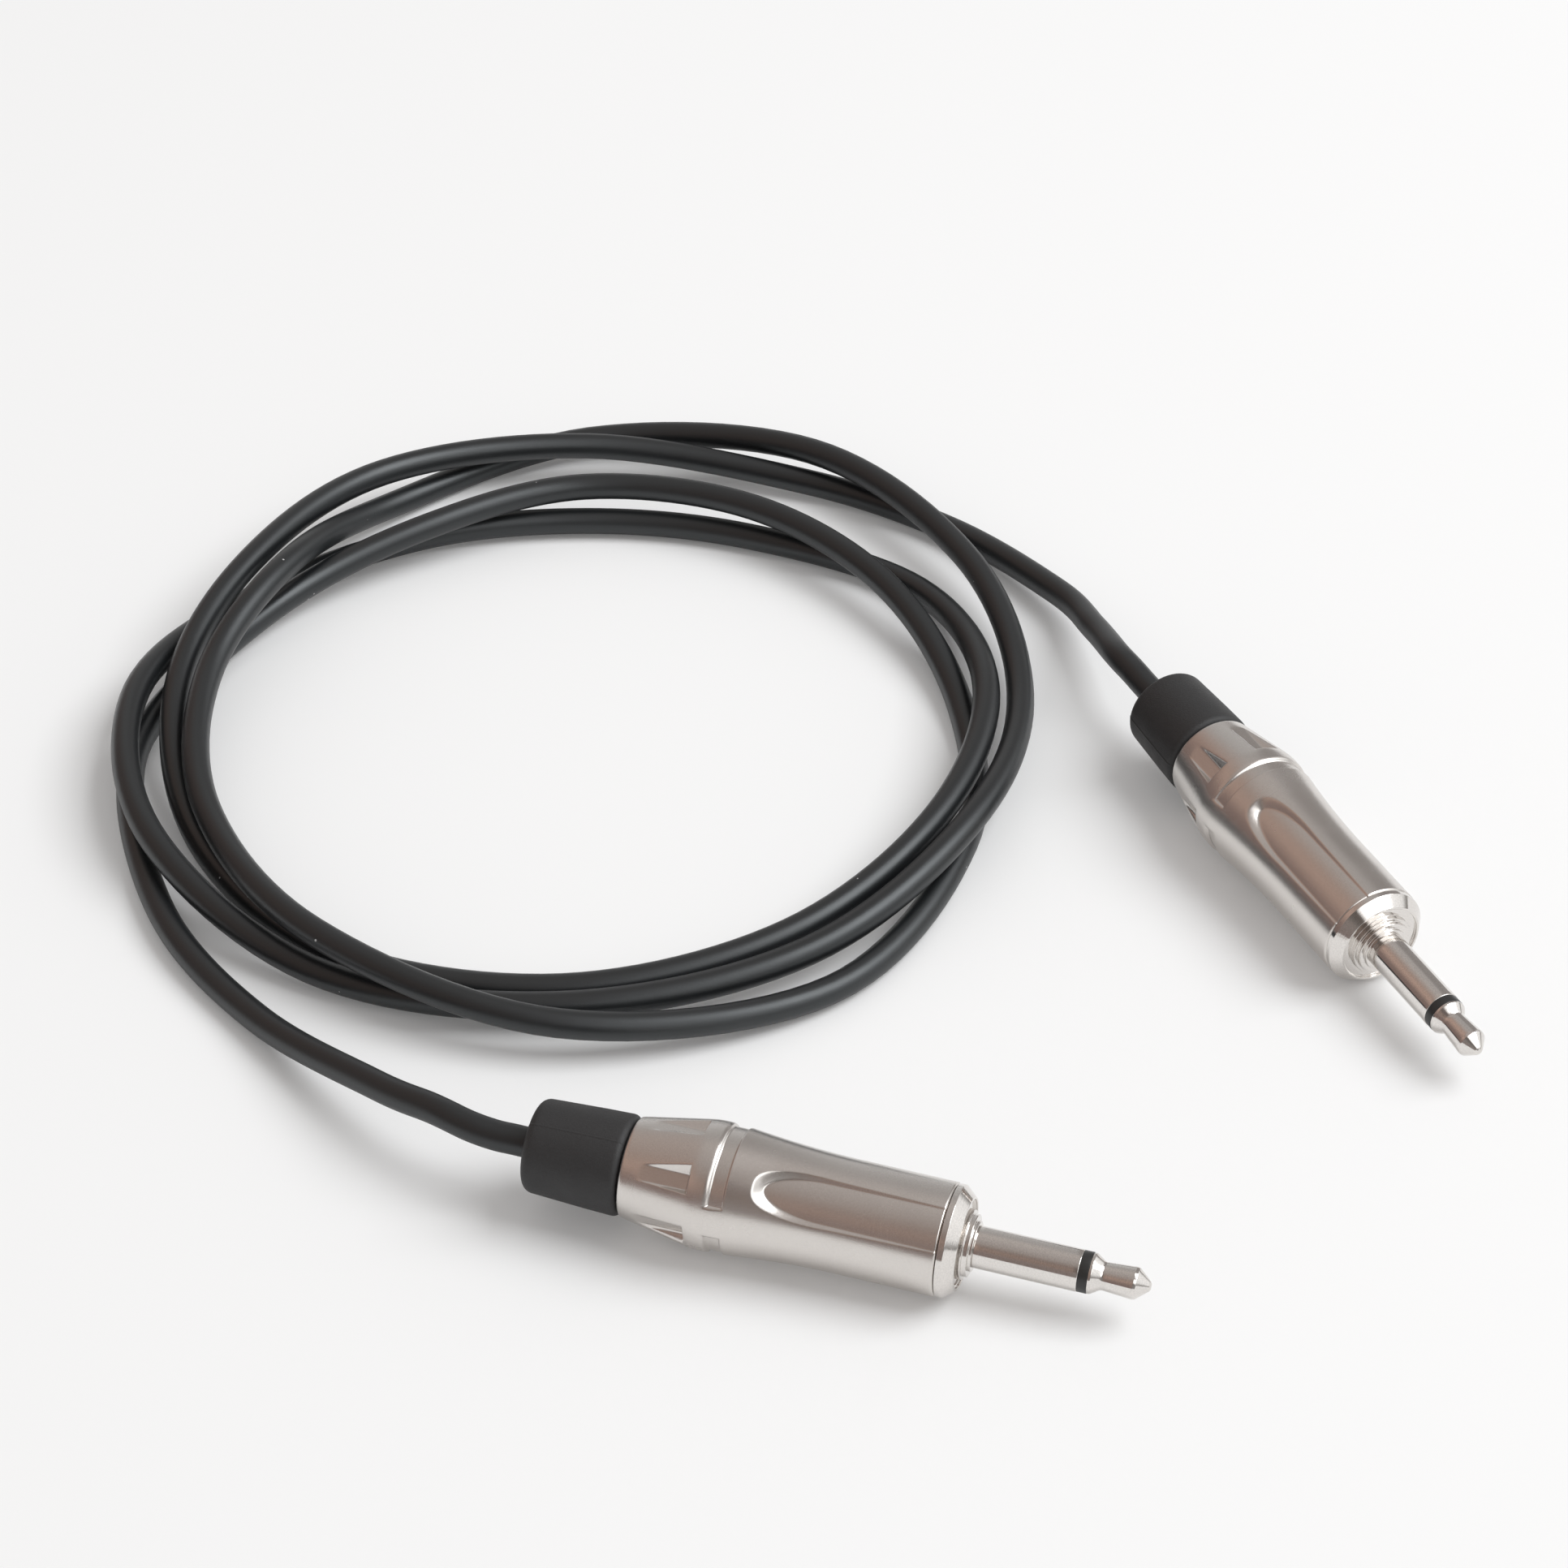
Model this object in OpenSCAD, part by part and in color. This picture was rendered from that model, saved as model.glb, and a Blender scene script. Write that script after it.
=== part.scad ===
// Coiled instrument patch cable: a thin round cord with a straight 3.5 mm mono
// (tip and sleeve) plug on each end. Millimetres, +Z up, lying on the plane z = 0.
// Each plug is drawn along +X with the front rim of its metal shell at x = 0,
// the contact to the front and the cord to the rear, and is then laid in place.

/* [Contact] */
// Diameter of the sleeve contact that enters the socket
contact_d = 3.5; // [3.3:0.05:3.6]
// Length of the bare sleeve contact, from the collar to the insulating ring
contact_len = 8.7; // [8:0.1:9.5]
// Width of the black insulating ring between sleeve and tip
ring_w = 0.8; // [0.5:0.1:1.2]
// How far the insulating ring stays below the sleeve's surface
ring_inset = 0.03; // [0.01:0.01:0.1]
// Bore of the sleeve contact
sleeve_bore_d = 2.4; // [2.2:0.1:2.6]
// Diameter of the sleeve's rear shank, pressed into the plug body
shank_d = 3; // [2.8:0.1:3.1]

/* [Tip] */
// Diameter of the tip's base, next to the insulating ring
tip_base_d = 3.4; // [3:0.1:3.5]
// Length of the cone from the base down to the neck
tip_cone_len = 1.05; // [0.8:0.05:1.4]
// Diameter of the narrow neck that the socket's spring drops into
neck_d = 2.3; // [2:0.1:2.5]
// Length of the slowly widening head in front of the neck
head_len = 2.8; // [2.4:0.1:3.2]
// Diameter at the widest place of the head
head_d = 2.7; // [2.5:0.1:3]
// Length of the nose cone
nose_len = 1.15; // [0.8:0.05:1.5]
// Diameter of the blunt end of the nose
nose_end_d = 0.7; // [0.4:0.1:1]
// Diameter of the tip's rod, which runs back through the sleeve
rod_d = 1.4; // [1.2:0.1:1.6]

/* [Plug body] */
// Diameter of the front flange
flange_d = 9.4; // [9.2:0.1:9.5]
// Thickness of the front flange
flange_t = 1.45; // [1.2:0.05:1.7]
// Width of the flange's straight edge, before its sloping side starts
flange_rim = 0.5; // [0.3:0.05:0.7]
// Diameter at the front end of the flange's sloping side
flange_face_d = 7.8; // [7.2:0.1:8.4]
// Width of the lip that stands round the flange's recessed front face
lip_w = 0.2; // [0.1:0.05:0.4]
// Depth of the front face below that lip
face_depth = 0.25; // [0.1:0.05:0.4]
// Diameter of the collar, the first of three steps on the front face
collar_d = 5.8; // [5.4:0.1:6.2]
// Length of the collar in front of the lip
collar_len = 0.25; // [0.1:0.05:0.5]
// Diameter of the middle step
neck_ring_d = 5.2; // [4.8:0.1:5.3]
// Length of the middle step
neck_ring_len = 0.4; // [0.2:0.05:0.7]
// Diameter of the last and smallest step, which meets the socket
step_d = 4.2; // [3.9:0.1:4.5]
// Length of the last step
step_len = 0.25; // [0.15:0.05:0.5]
// Diameter over the thread that the shell screws onto
thread_d = 7.5; // [7.2:0.1:7.6]
// Length of the thread
thread_len = 3; // [2.5:0.5:4]
// Diameter of the boss behind the thread
boss_d = 6; // [5.6:0.1:6.4]
// Length of the boss behind the thread
boss_len = 2.6; // [2:0.1:3]

/* [Shell] */
// Outer diameter of the shell's front half
shell_d = 9.5; // [9.4:0.1:9.8]
// Outer diameter at the shoulder, the widest place of the plug
shoulder_d = 10.85; // [10.4:0.05:11.2]
// Outer diameter at the shell's rear rim
shell_rear_d = 8.4; // [8.2:0.1:8.8]
// Length of the shell
shell_len = 27; // [26:0.5:30]
// Distance from the front rim to the front edge of the shoulder's crest
shoulder_x = 18.7; // [18:0.1:19]
// Width of the shoulder's crest
crest_w = 1.8; // [1.6:0.1:2.2]
// Length of the straight front half, from the rim to where the flare starts
front_len = 8; // [6:0.5:9]
// Chamfer on the front rim's outer edge
rim_chamfer = 0.15; // [0.05:0.05:0.3]
// Radius on the rear rim's outer edge
rear_round = 0.35; // [0.1:0.05:0.6]
// Bore of the shell's tail, where the boot plugs in
tail_bore_d = 5.8; // [5.4:0.1:6]
// Length of the tail bore
tail_len = 6; // [5:0.5:6.5]

/* [Shell recesses] */
// Number of long thumb recesses round the front half
thumb_count = 3; // [2:1:3]
// Radius of a thumb recess's floor, which is round about the plug's axis
thumb_floor = 4.65; // [4.5:0.05:4.7]
// Width of a thumb recess's floor
thumb_w = 3.8; // [3:0.1:4.2]
// Distance from the front rim to the rounded rear end of the floor
thumb_len = 14.7; // [12:0.1:15]
// Lean of a thumb recess's walls from upright
thumb_draft = 65; // [30:5:70]
// Number of pockets round the rear taper
pocket_count = 6; // [4:1:6]
// Distance of a pocket's flat floor from the plug's axis
pocket_floor = 4.45; // [4.3:0.05:4.7]
// Width of a pocket's floor
pocket_w = 1.4; // [1:0.1:1.8]
// Distance from the front rim to a pocket's front wall
pocket_x = 21.1; // [21:0.1:22]
// Number of arc grooves round the shoulder
groove_count = 2; // [1:1:3]
// Distance from the front rim to the rear edge of a groove's floor
groove_x = 19.3; // [19:0.1:19.5]
// Width of the arc groove's floor
groove_w = 1.5; // [1:0.1:1.7]
// Depth of the arc groove
groove_depth = 0.3; // [0.1:0.05:0.4]
// Angle of the bare land left between two grooves
groove_land = 28; // [20:1:50]
// Slant of the groove's rear wall, along the axis
groove_slant = 0.6; // [0.2:0.1:0.8]

/* [Boot] */
// Length of the boot behind the shell
boot_len = 8.4; // [7:0.1:10]
// Diameter of the boot at its front
boot_front_d = 8.6; // [8.4:0.1:9]
// Diameter of the boot at its rear
boot_rear_d = 7.9; // [7.4:0.1:8.2]
// Radius on the boot's front edge
boot_front_round = 0.6; // [0.3:0.1:1]
// Radius on the boot's rear edge
boot_rear_round = 0.8; // [0.3:0.1:1.2]
// Width of the two mould lines along the boot
mould_line_w = 0.15; // [0.1:0.05:0.3]
// Height of the two mould lines
mould_line_h = 0.05; // [0.02:0.01:0.1]
// Angle of the first mould line from straight up; the other lies opposite
mould_line_at = 22; // [0:1:180]
// Length of the snap bead that holds the boot in the shell
bead_len = 0.7; // [0.4:0.1:1]
// How far the snap bead stands out over the boot's spigot
bead_h = 0.35; // [0.2:0.05:0.5]

/* [Inside the plug] */
// Wall of the insulating liner
liner_wall = 0.25; // [0.2:0.05:0.35]
// Length of the insulating liner
liner_len = 14.5; // [10:0.5:15]
// Thickness of the two contact lugs
lug_t = 0.4; // [0.3:0.05:0.5]
// Diameter of the ground lug's washer
ground_lug_d = 6; // [5.4:0.1:6.4]
// Width of the ground lug's arm
arm_w = 2.4; // [1.8:0.1:2.8]
// Gap between the boot's spigot and the rear end of the cord clamp
clamp_gap = 1.2; // [0.8:0.1:2]
// Length of the cord clamp
clamp_len = 3.4; // [2.5:0.1:4]
// Opening angle of the cord clamp
clamp_open = 110; // [80:5:140]
// Thickness of the insulating washer between the two lugs
washer_t = 0.8; // [0.5:0.1:1]
// Diameter of the insulating washer
washer_d = 5; // [4.4:0.1:5.4]
// Diameter of the tip lug's washer
tip_lug_d = 3; // [2.8:0.1:3.6]
// Width of the tip lug's tongue
tongue_w = 1.5; // [1:0.1:1.8]
// Length of the tip lug's tongue behind its washer
tongue_len = 3.6; // [3:0.1:4]
// Diameter of the rod's riveted rear end
rivet_d = 2.2; // [2:0.1:2.6]
// Length of the rod's riveted rear end
rivet_len = 0.4; // [0.2:0.1:0.6]
// Diameter of the insulated inner conductor
core_d = 0.9; // [0.7:0.1:1]
// Diameter of the gathered screen wires
screen_d = 0.8; // [0.6:0.1:0.9]
// Length of jacket left in front of the cord clamp
jacket_stub = 1.4; // [1:0.1:2]

/* [Fits] */
// Radial clearance of the thread in the shell
thread_clearance = 0.05; // [0.03:0.01:0.1]
// Radial clearance of the boot's spigot in the shell's tail
spigot_clearance = 0.05; // [0.03:0.01:0.1]
// Radial clearance of the cord in the boot
cord_clearance = 0.05; // [0.03:0.01:0.1]
// Gap in the two seams, shell to flange and shell to boot
seam_gap = 0.06; // [0.02:0.02:0.1]

/* [Cord and lay] */
// Diameter of the cord
cord_d = 2.6; // [2.2:0.1:2.6]
// Direction in which plug A points, anticlockwise from +X
plug_a_turn = -17; // [-24:1:-14]
// Direction in which plug B points, anticlockwise from +X
plug_b_turn = -63; // [-68:1:-58]
// How plug A's shell is rolled about its axis
plug_a_roll = 38; // [0:1:360]
// How plug B's shell is rolled about its axis
plug_b_roll = 33; // [0:1:360]

/* [Hidden] */
$fn = 96;
over = 0.01;        // how far a cut runs past a face

// Where the front rim of each plug's shell stands on the table.
plug_a_at = [-5.85, -32.79];
plug_b_at = [32.32, 5.67];

// The wound stretch of the cord: radius and height of its centre line every
// coil_step degrees, anticlockwise round coil_centre, from plug B's side.
coil_centre = [-38.46, 42.96];
coil_start = 60;
coil_step = 30;
coil_stations = [
    [43.5, 1.75], [41.25, 3.75], [40.25, 5], [36.75, 6], [37.25, 4.25], [38.75, 1.75],
    [40.75, 1.5], [40.25, 1.5], [39.75, 2.75], [38.75, 4.25], [38.5, 4.25], [37.75, 1.75],
    [32.75, 1.5], [31.25, 1.5], [32.5, 1.75], [36.75, 1.5], [41, 4.25], [43.5, 4.5],
    [44, 2], [43.5, 2.25], [43.25, 3.25], [42, 4.75], [41.75, 3.25], [43, 4],
    [45, 4.5], [45, 2], [39, 1.75], [32.5, 7], [34.25, 5.75], [37.75, 5],
    [43, 5.5], [47.25, 3.5], [47, 1.5], [41.25, 1.5], [36.25, 1.5], [34, 3.75],
    [33.25, 4.75], [32.5, 4.75], [30.25, 4.5], [33.25, 2.5], [39.25, 1.5]
];
// The free stretches between each plug's straight exit and the coil.
lead_b_points = [[13.64, 42.46, 6.2], [12.44, 45.36, 5.9], [10.74, 51.96, 4.2],
                 [7.54, 60.46, 2.5], [-2.46, 72.46, 1.5]];
lead_a_points = [[-78.96, 29.96, 1.5], [-73.76, 11.96, 1.5], [-64.46, -1.54, 1.7],
                 [-53.46, -13.54, 4.8], [-48.26, -18.24, 6.25], [-45.16, -20.44, 6.3]];
cord_straight = 3.4;   // the cord leaves each boot straight for this length
cord_sides = 8;
span_rings = 2;        // rings of the cord's tube for each station
gap_samples = 8;       // samples a station when the cord's gap to itself is measured

// Derived radii and stations of the plug, from its own values and clearances.
contact_r = contact_d / 2;
shell_r = shell_d / 2;
shoulder_r = shoulder_d / 2;
shell_bore_r = thread_d / 2 + thread_clearance;
crest_end = shoulder_x + crest_w;
cord_r = cord_d / 2;
flange_x = seam_gap;
lip_x = flange_x + flange_t;
neck_ring_x = lip_x + collar_len;
step_x = neck_ring_x + neck_ring_len;
contact_x = step_x + step_len;
ring_x = contact_x + contact_len;
tip_x = ring_x + ring_w;
boss_x = -thread_len - boss_len;
washer_x = boss_x - lug_t;
tip_lug_x = washer_x - washer_t;
rivet_x = tip_lug_x - lug_t;
step_bore_x = tail_len - shell_len;
boot_x = -shell_len - seam_gap;
boot_end_x = boot_x - boot_len;
boot_bore_r = cord_r + cord_clearance;
spigot_r = tail_bore_d / 2 - spigot_clearance;
bead_x = step_bore_x + seam_gap;
spigot_end = bead_x + bead_len;
arm_z = -ground_lug_d / 2;
clamp_rear = spigot_end + clamp_gap;
clamp_front = clamp_rear + clamp_len;
jacket_end = clamp_front + jacket_stub;
// The plug lies on its shoulder and its front rim, so it points down a little.
lie_angle = atan((shoulder_r - shell_r) / (shoulder_x - rim_chamfer));
axis_height = shell_r * cos(lie_angle) - rim_chamfer * sin(lie_angle);

// ---- placing ---------------------------------------------------------------

// Lays a plug on the table: rolled, tipped nose-down, turned, then moved.
module lay_a() {
    translate([plug_a_at.x, plug_a_at.y, axis_height])
        rotate([0, lie_angle, plug_a_turn])
            children();
}

module lay_b() {
    translate([plug_b_at.x, plug_b_at.y, axis_height])
        rotate([0, lie_angle, plug_b_turn])
            children();
}

// Turns an outline given as [x along the plug, radius] about the plug's axis.
module turned(outline) {
    rotate([0, 90, 0])
        rotate_extrude()
            polygon([for (p = outline) [p.y, p.x]]);
}

// A round bar along the plug from x0 to x1.
module bar(x0, x1, d) {
    translate([x0, 0, 0])
        rotate([0, 90, 0])
            cylinder(d = d, h = x1 - x0);
}

// Points of a quarter-round edge, from angle a0 to a1 about centre c.
function round_edge(c, r, a0, a1, n = 6) =
    [for (i = [0:n]) let (a = a0 + (a1 - a0) * i / n) c + r * [cos(a), sin(a)]];

// ---- contacts --------------------------------------------------------------

// Tip: a base cone, the neck, the widening head and a blunt nose, on a rod that
// runs back through the insulator and is riveted over the tip lug.
module tip() {
    neck_x = tip_x + tip_cone_len;
    head_x = neck_x + head_len;
    color("silver")
        turned([
            [rivet_x - rivet_len, 0], [rivet_x - rivet_len, rivet_d / 2], [rivet_x, rivet_d / 2],
            [rivet_x, rod_d / 2], [tip_x, rod_d / 2], [tip_x, tip_base_d / 2],
            [neck_x, neck_d / 2], [head_x, head_d / 2], [head_x + nose_len, nose_end_d / 2],
            [head_x + nose_len, 0]
        ]);
}

// Insulator: the black ring that shows, with a tube round the rod inside the sleeve.
module insulator() {
    color("black")
        turned([
            [boss_x - lug_t, rod_d / 2], [boss_x - lug_t, sleeve_bore_d / 2],
            [ring_x, sleeve_bore_d / 2], [ring_x, contact_r - ring_inset],
            [tip_x, contact_r - ring_inset], [tip_x, rod_d / 2]
        ]);
}

// Sleeve: the contact that enters the socket, on a thinner shank in the plug body.
module sleeve() {
    color("silver")
        turned([
            [washer_x, sleeve_bore_d / 2], [washer_x, shank_d / 2], [contact_x, shank_d / 2],
            [contact_x, contact_r], [ring_x, contact_r], [ring_x, sleeve_bore_d / 2]
        ]);
}

// Plug body: a flange with a straight edge, a sloping side and a lip round its
// recessed face, three steps in front, and the thread and the boss behind.
module plug_body() {
    flange_r = flange_d / 2;
    lip_r = flange_face_d / 2;
    face_x = lip_x - face_depth;
    color("silver")
        turned([
            [boss_x, shank_d / 2], [boss_x, boss_d / 2], [-thread_len, boss_d / 2],
            [-thread_len, thread_d / 2], [flange_x, thread_d / 2], [flange_x, flange_r],
            [flange_x + flange_rim, flange_r], [lip_x, lip_r], [lip_x, lip_r - lip_w],
            [face_x, lip_r - lip_w], [face_x, collar_d / 2], [neck_ring_x, collar_d / 2],
            [neck_ring_x, neck_ring_d / 2], [step_x, neck_ring_d / 2], [step_x, step_d / 2],
            [contact_x, step_d / 2], [contact_x, shank_d / 2]
        ]);
}

// ---- inside the plug -------------------------------------------------------

// Ground lug: a washer on the sleeve's shank, an arm along the bottom and the
// open clamp that is pressed round the cord's jacket.
module ground_lug() {
    bend_x = jacket_end + 1.6;
    clamp_z = -cord_r - lug_t;
    color("goldenrod") {
        difference() {
            bar(washer_x, boss_x, ground_lug_d);
            bar(washer_x - over, boss_x + over, shank_d);
        }
        translate([0, arm_w / 2, 0])
            rotate([90, 0, 0])
                linear_extrude(arm_w)
                    polygon([
                        [boss_x, arm_z], [boss_x, arm_z + lug_t], [bend_x, arm_z + lug_t],
                        [clamp_front, clamp_z + lug_t], [clamp_rear, clamp_z + lug_t],
                        [clamp_rear, clamp_z], [clamp_front, clamp_z], [bend_x, arm_z]
                    ]);
        translate([clamp_rear, 0, 0])
            rotate([0, 90, 0])
                rotate([0, 0, clamp_open / 2 - 180])
                    rotate_extrude(angle = 360 - clamp_open)
                        translate([cord_r, 0])
                            square([lug_t, clamp_len]);
    }
}

// Insulating washer between the ground lug and the tip lug.
module washer() {
    color("ivory")
        turned([
            [tip_lug_x, rod_d / 2], [tip_lug_x, washer_d / 2],
            [washer_x, washer_d / 2], [washer_x, rod_d / 2]
        ]);
}

// Tip lug: a washer under the riveted rod, and a tongue that the core lies under.
module tip_lug() {
    color("goldenrod")
        difference() {
            union() {
                bar(rivet_x, tip_lug_x, tip_lug_d);
                translate([rivet_x - tongue_len, -tongue_w / 2, rivet_d / 2])
                    cube([tongue_len + lug_t, tongue_w, lug_t]);
            }
            bar(rivet_x - over, tip_lug_x + over, rod_d);
        }
}

// Insulating liner pushed into the shell, behind the thread.
module liner() {
    liner_x = -thread_len - 0.5;
    color("whitesmoke")
        difference() {
            bar(liner_x - liner_len, liner_x, 2 * shell_bore_r);
            bar(liner_x - liner_len - over, liner_x + over, 2 * (shell_bore_r - liner_wall));
        }
}

// The end of the cord that stays in the boot and the clamp.
module cord_end() {
    color("dimgray")
        bar(boot_end_x, jacket_end, cord_d);
}

// The insulated inner conductor, from the jacket to under the tip lug's tongue.
module core() {
    rise = rivet_d / 2 - core_d / 2;
    run = rivet_x - rivet_len - 0.6 - jacket_end;
    lean = atan(rise / run);
    color("white")
        translate([jacket_end, 0, 0])
            rotate([0, 90 - lean, 0])
                cylinder(d = core_d, h = run);
}

// The gathered screen wires, from the jacket down to the ground lug's arm.
module screen() {
    drop = arm_z + lug_t + screen_d / 2 + (cord_r - screen_d / 2) - 0.1;
    color("peru")
        translate([jacket_end, 0, screen_d / 2 - cord_r + 0.1])
            rotate([0, 90 - atan(drop / 4.4), 0])
                cylinder(d = screen_d, h = 4.2);
}

// ---- shell -----------------------------------------------------------------

// Outer radius of the flare at a distance behind the front rim.
function flare_r(x) =
    let (t = max(0, (x - front_len) / (shoulder_x - front_len)))
    shell_r + (shoulder_r - shell_r) * t * t;

// Shell outline: straight front half, flare up to the shoulder, taper to the rear.
function shell_outline() = concat(
    [[0, shell_bore_r], [0, shell_r - rim_chamfer], [-rim_chamfer, shell_r]],
    [for (i = [0:8]) let (x = front_len + (shoulder_x - front_len) * i / 8) [-x, flare_r(x)]],
    [[-crest_end, shoulder_r]],
    round_edge([rear_round - shell_len, shell_rear_d / 2 - rear_round], rear_round, 100, 180, 4),
    [[-shell_len, tail_bore_d / 2], [step_bore_x, tail_bore_d / 2], [step_bore_x, shell_bore_r]]
);

// Thumb recess: a round floor that the flare rises away from, leaning walls and a
// rounded rear end. base is the height of the floor's two long edges.
module thumb_cut() {
    half = thumb_w / 2;
    base = sqrt(thumb_floor * thumb_floor - half * half);
    run = tan(thumb_draft);
    rise = shoulder_r - base + 0.3;
    end_x = half + (thumb_floor - base) * run - thumb_len;
    difference() {
        union() {
            translate([end_x, 0, base])
                cylinder(r1 = half, r2 = half + rise * run, h = rise);
            translate([end_x, 0, base])
                rotate([90, 0, 90])
                    linear_extrude(-end_x + over)
                        polygon([[-half, 0], [half, 0],
                                 [half + rise * run, rise], [-half - rise * run, rise]]);
        }
        bar(-shell_len, 2 * over, 2 * thumb_floor);
    }
}

// Pocket in the rear taper: its flat floor runs out where the taper falls to it.
module pocket_cut() {
    rise = shoulder_r - pocket_floor + 0.3;
    translate([-shell_len - over, 0, pocket_floor])
        rotate([90, 0, 90])
            linear_extrude(shell_len + over - pocket_x)
                polygon([[-pocket_w / 2, 0], [pocket_w / 2, 0],
                         [pocket_w / 2 + rise * 0.9, rise], [-pocket_w / 2 - rise * 0.9, rise]]);
}

// Arc groove at the shoulder, with a slanted rear wall.
module groove_cut() {
    span = 360 / groove_count - groove_land;
    floor_r = shoulder_r - groove_depth;
    slant = groove_slant / groove_depth;
    top = 0.3;
    rear_x = -groove_x;
    rotate([0, 90, 0])
        rotate([0, 0, 180 - span / 2])
            rotate_extrude(angle = span)
                polygon([[floor_r, rear_x], [floor_r, rear_x + groove_w],
                         [shoulder_r + top, rear_x + groove_w],
                         [shoulder_r + top, rear_x - slant * (groove_depth + top)]]);
}

module shell() {
    color("lightslategray")
        difference() {
            turned(shell_outline());
            for (i = [0:thumb_count - 1])
                rotate([360 / thumb_count * i, 0, 0])
                    thumb_cut();
            for (i = [0:pocket_count - 1])
                rotate([10 + 360 / pocket_count * i, 0, 0])
                    pocket_cut();
            for (i = [0:groove_count - 1])
                rotate([-47 + 360 / groove_count * i, 0, 0])
                    groove_cut();
        }
}

// ---- boot ------------------------------------------------------------------

// Boot: a short rubber cone with rounded edges and two fine mould lines, and a
// spigot with a snap bead that plugs into the shell's tail.
module boot() {
    front_r = boot_front_d / 2;
    rear_r = boot_rear_d / 2;
    cone_rear = boot_end_x + boot_rear_round;
    cone_front = boot_x - boot_front_round;
    color("dimgray") {
        turned(concat(
            [[boot_end_x, boot_bore_r]],
            round_edge([cone_rear, rear_r - boot_rear_round], boot_rear_round, 180, 90),
            round_edge([cone_front, front_r - boot_front_round], boot_front_round, 90, 0),
            [[boot_x, spigot_r], [bead_x, spigot_r], [bead_x, spigot_r + bead_h],
             [spigot_end, spigot_r], [spigot_end, boot_bore_r]]
        ));
        for (side = [0, 180])
            rotate([mould_line_at + side, 0, 0])
                translate([0, mould_line_w / 2, 0])
                    rotate([90, 0, 0])
                        linear_extrude(mould_line_w)
                            polygon([
                                [cone_rear, rear_r - 0.5], [cone_rear, rear_r + mould_line_h],
                                [cone_front, front_r + mould_line_h], [cone_front, front_r - 0.5]
                            ]);
    }
}

// ---- cord ------------------------------------------------------------------

// Unit vector of a plug's axis, pointing to its tip.
function plug_axis(turn) =
    [cos(turn) * cos(lie_angle), sin(turn) * cos(lie_angle), -sin(lie_angle)];

// The point on a plug's axis at a distance behind the front rim.
function on_axis(at, turn, back) = [at.x, at.y, axis_height] - back * plug_axis(turn);

// A station of the coil as a point.
function station(i) =
    let (a = coil_start + coil_step * i, s = coil_stations[i])
    [coil_centre.x + s[0] * cos(a), coil_centre.y + s[0] * sin(a), s[1]];

// Every point that the cord follows, from inside plug B to inside plug A.
exit_back = -boot_end_x;
b_points = concat(
    [for (d = [-1, 0, 0.5, 1] * cord_straight) on_axis(plug_b_at, plug_b_turn, exit_back + d)],
    lead_b_points
);
a_points = concat(
    lead_a_points,
    [for (d = [1, 0.5, 0, -1] * cord_straight) on_axis(plug_a_at, plug_a_turn, exit_back + d)]
);
route = concat(b_points, [for (i = [0:len(coil_stations) - 1]) station(i)], a_points);

// Smooth curve through four neighbouring points, at t from 0 to 1 between the
// middle two, and its direction.
function curve(p, q, r, s, t) =
    (2 * q + (r - p) * t + (2 * p - 5 * q + 4 * r - s) * t * t
        + (3 * q - p - 3 * r + s) * t * t * t) / 2;
function slope(p, q, r, s, t) =
    ((r - p) + 2 * (2 * p - 5 * q + 4 * r - s) * t + 3 * (3 * q - p - 3 * r + s) * t * t) / 2;

function unit(v) = v / norm(v);

// Point and direction of the route at u, counted in points.
function at(u) =
    let (i = min(floor(u), len(route) - 3), t = u - i)
    curve(route[i - 1], route[i], route[i + 1], route[i + 2], t);
function along(u) =
    let (i = min(floor(u), len(route) - 3), t = u - i)
    unit(slope(route[i - 1], route[i], route[i + 1], route[i + 2], t));

// One ring of the tube at u, with a side direction that stays level.
function ring(u) =
    let (c = at(u), d = along(u), side = unit(cross(d, [0, 0, 1])), up = cross(side, d))
    [for (k = [0:cord_sides - 1])
        let (a = 360 * (k + 0.5) / cord_sides)
        c + cord_r * (cos(a) * side + sin(a) * up)];

// The cord's tube from route point u0 to u1, as triangles.
module tube(u0, u1) {
    count = round((u1 - u0) * span_rings);
    rings = [for (j = [0:count]) each ring(u0 + (u1 - u0) * j / count)];
    n = cord_sides;
    sides = [for (j = [0:count - 1], k = [0:n - 1])
        let (a = j * n + k, b = j * n + (k + 1) % n)
        each [[a, b + n, b], [a, a + n, b + n]]];
    first = [for (k = [1:n - 2]) [0, k, k + 1]];
    last = [for (k = [1:n - 2]) [count * n, count * n + k + 1, count * n + k]];
    color("dimgray")
        polyhedron(points = rings, faces = concat(first, sides, last), convexity = 12);
}

coil_from = len(b_points);
coil_to = coil_from + len(coil_stations) - 1;
route_to = len(route) - 2;

module cord_lead_b() {
    tube(1, coil_from);
}

module cord_coil() {
    tube(coil_from, coil_to);
}

module cord_lead_a() {
    tube(coil_to, route_to);
}

// Least distance between two turns of the cord, surface to surface, the height of
// its lowest place over the table and its free length, all measured on points.
samples = [for (j = [0:(route_to - 1) * gap_samples]) at(1 + j / gap_samples)];
skip = 4 * gap_samples;
gap = min([for (i = [0:len(samples) - 1 - skip], j = [i + skip:len(samples) - 1])
    norm(samples[i] - samples[j])]) - cord_d;
lengths = [for (i = 1, s = 0; i < len(samples);
                s = s + norm(samples[i] - samples[i - 1]), i = i + 1) s];
lowest = min([for (p = samples) p.z]) - cord_r;
echo(least_gap = gap, lowest = lowest, free_length = lengths[len(lengths) - 1]);

// ---- nodes -----------------------------------------------------------------

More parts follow.
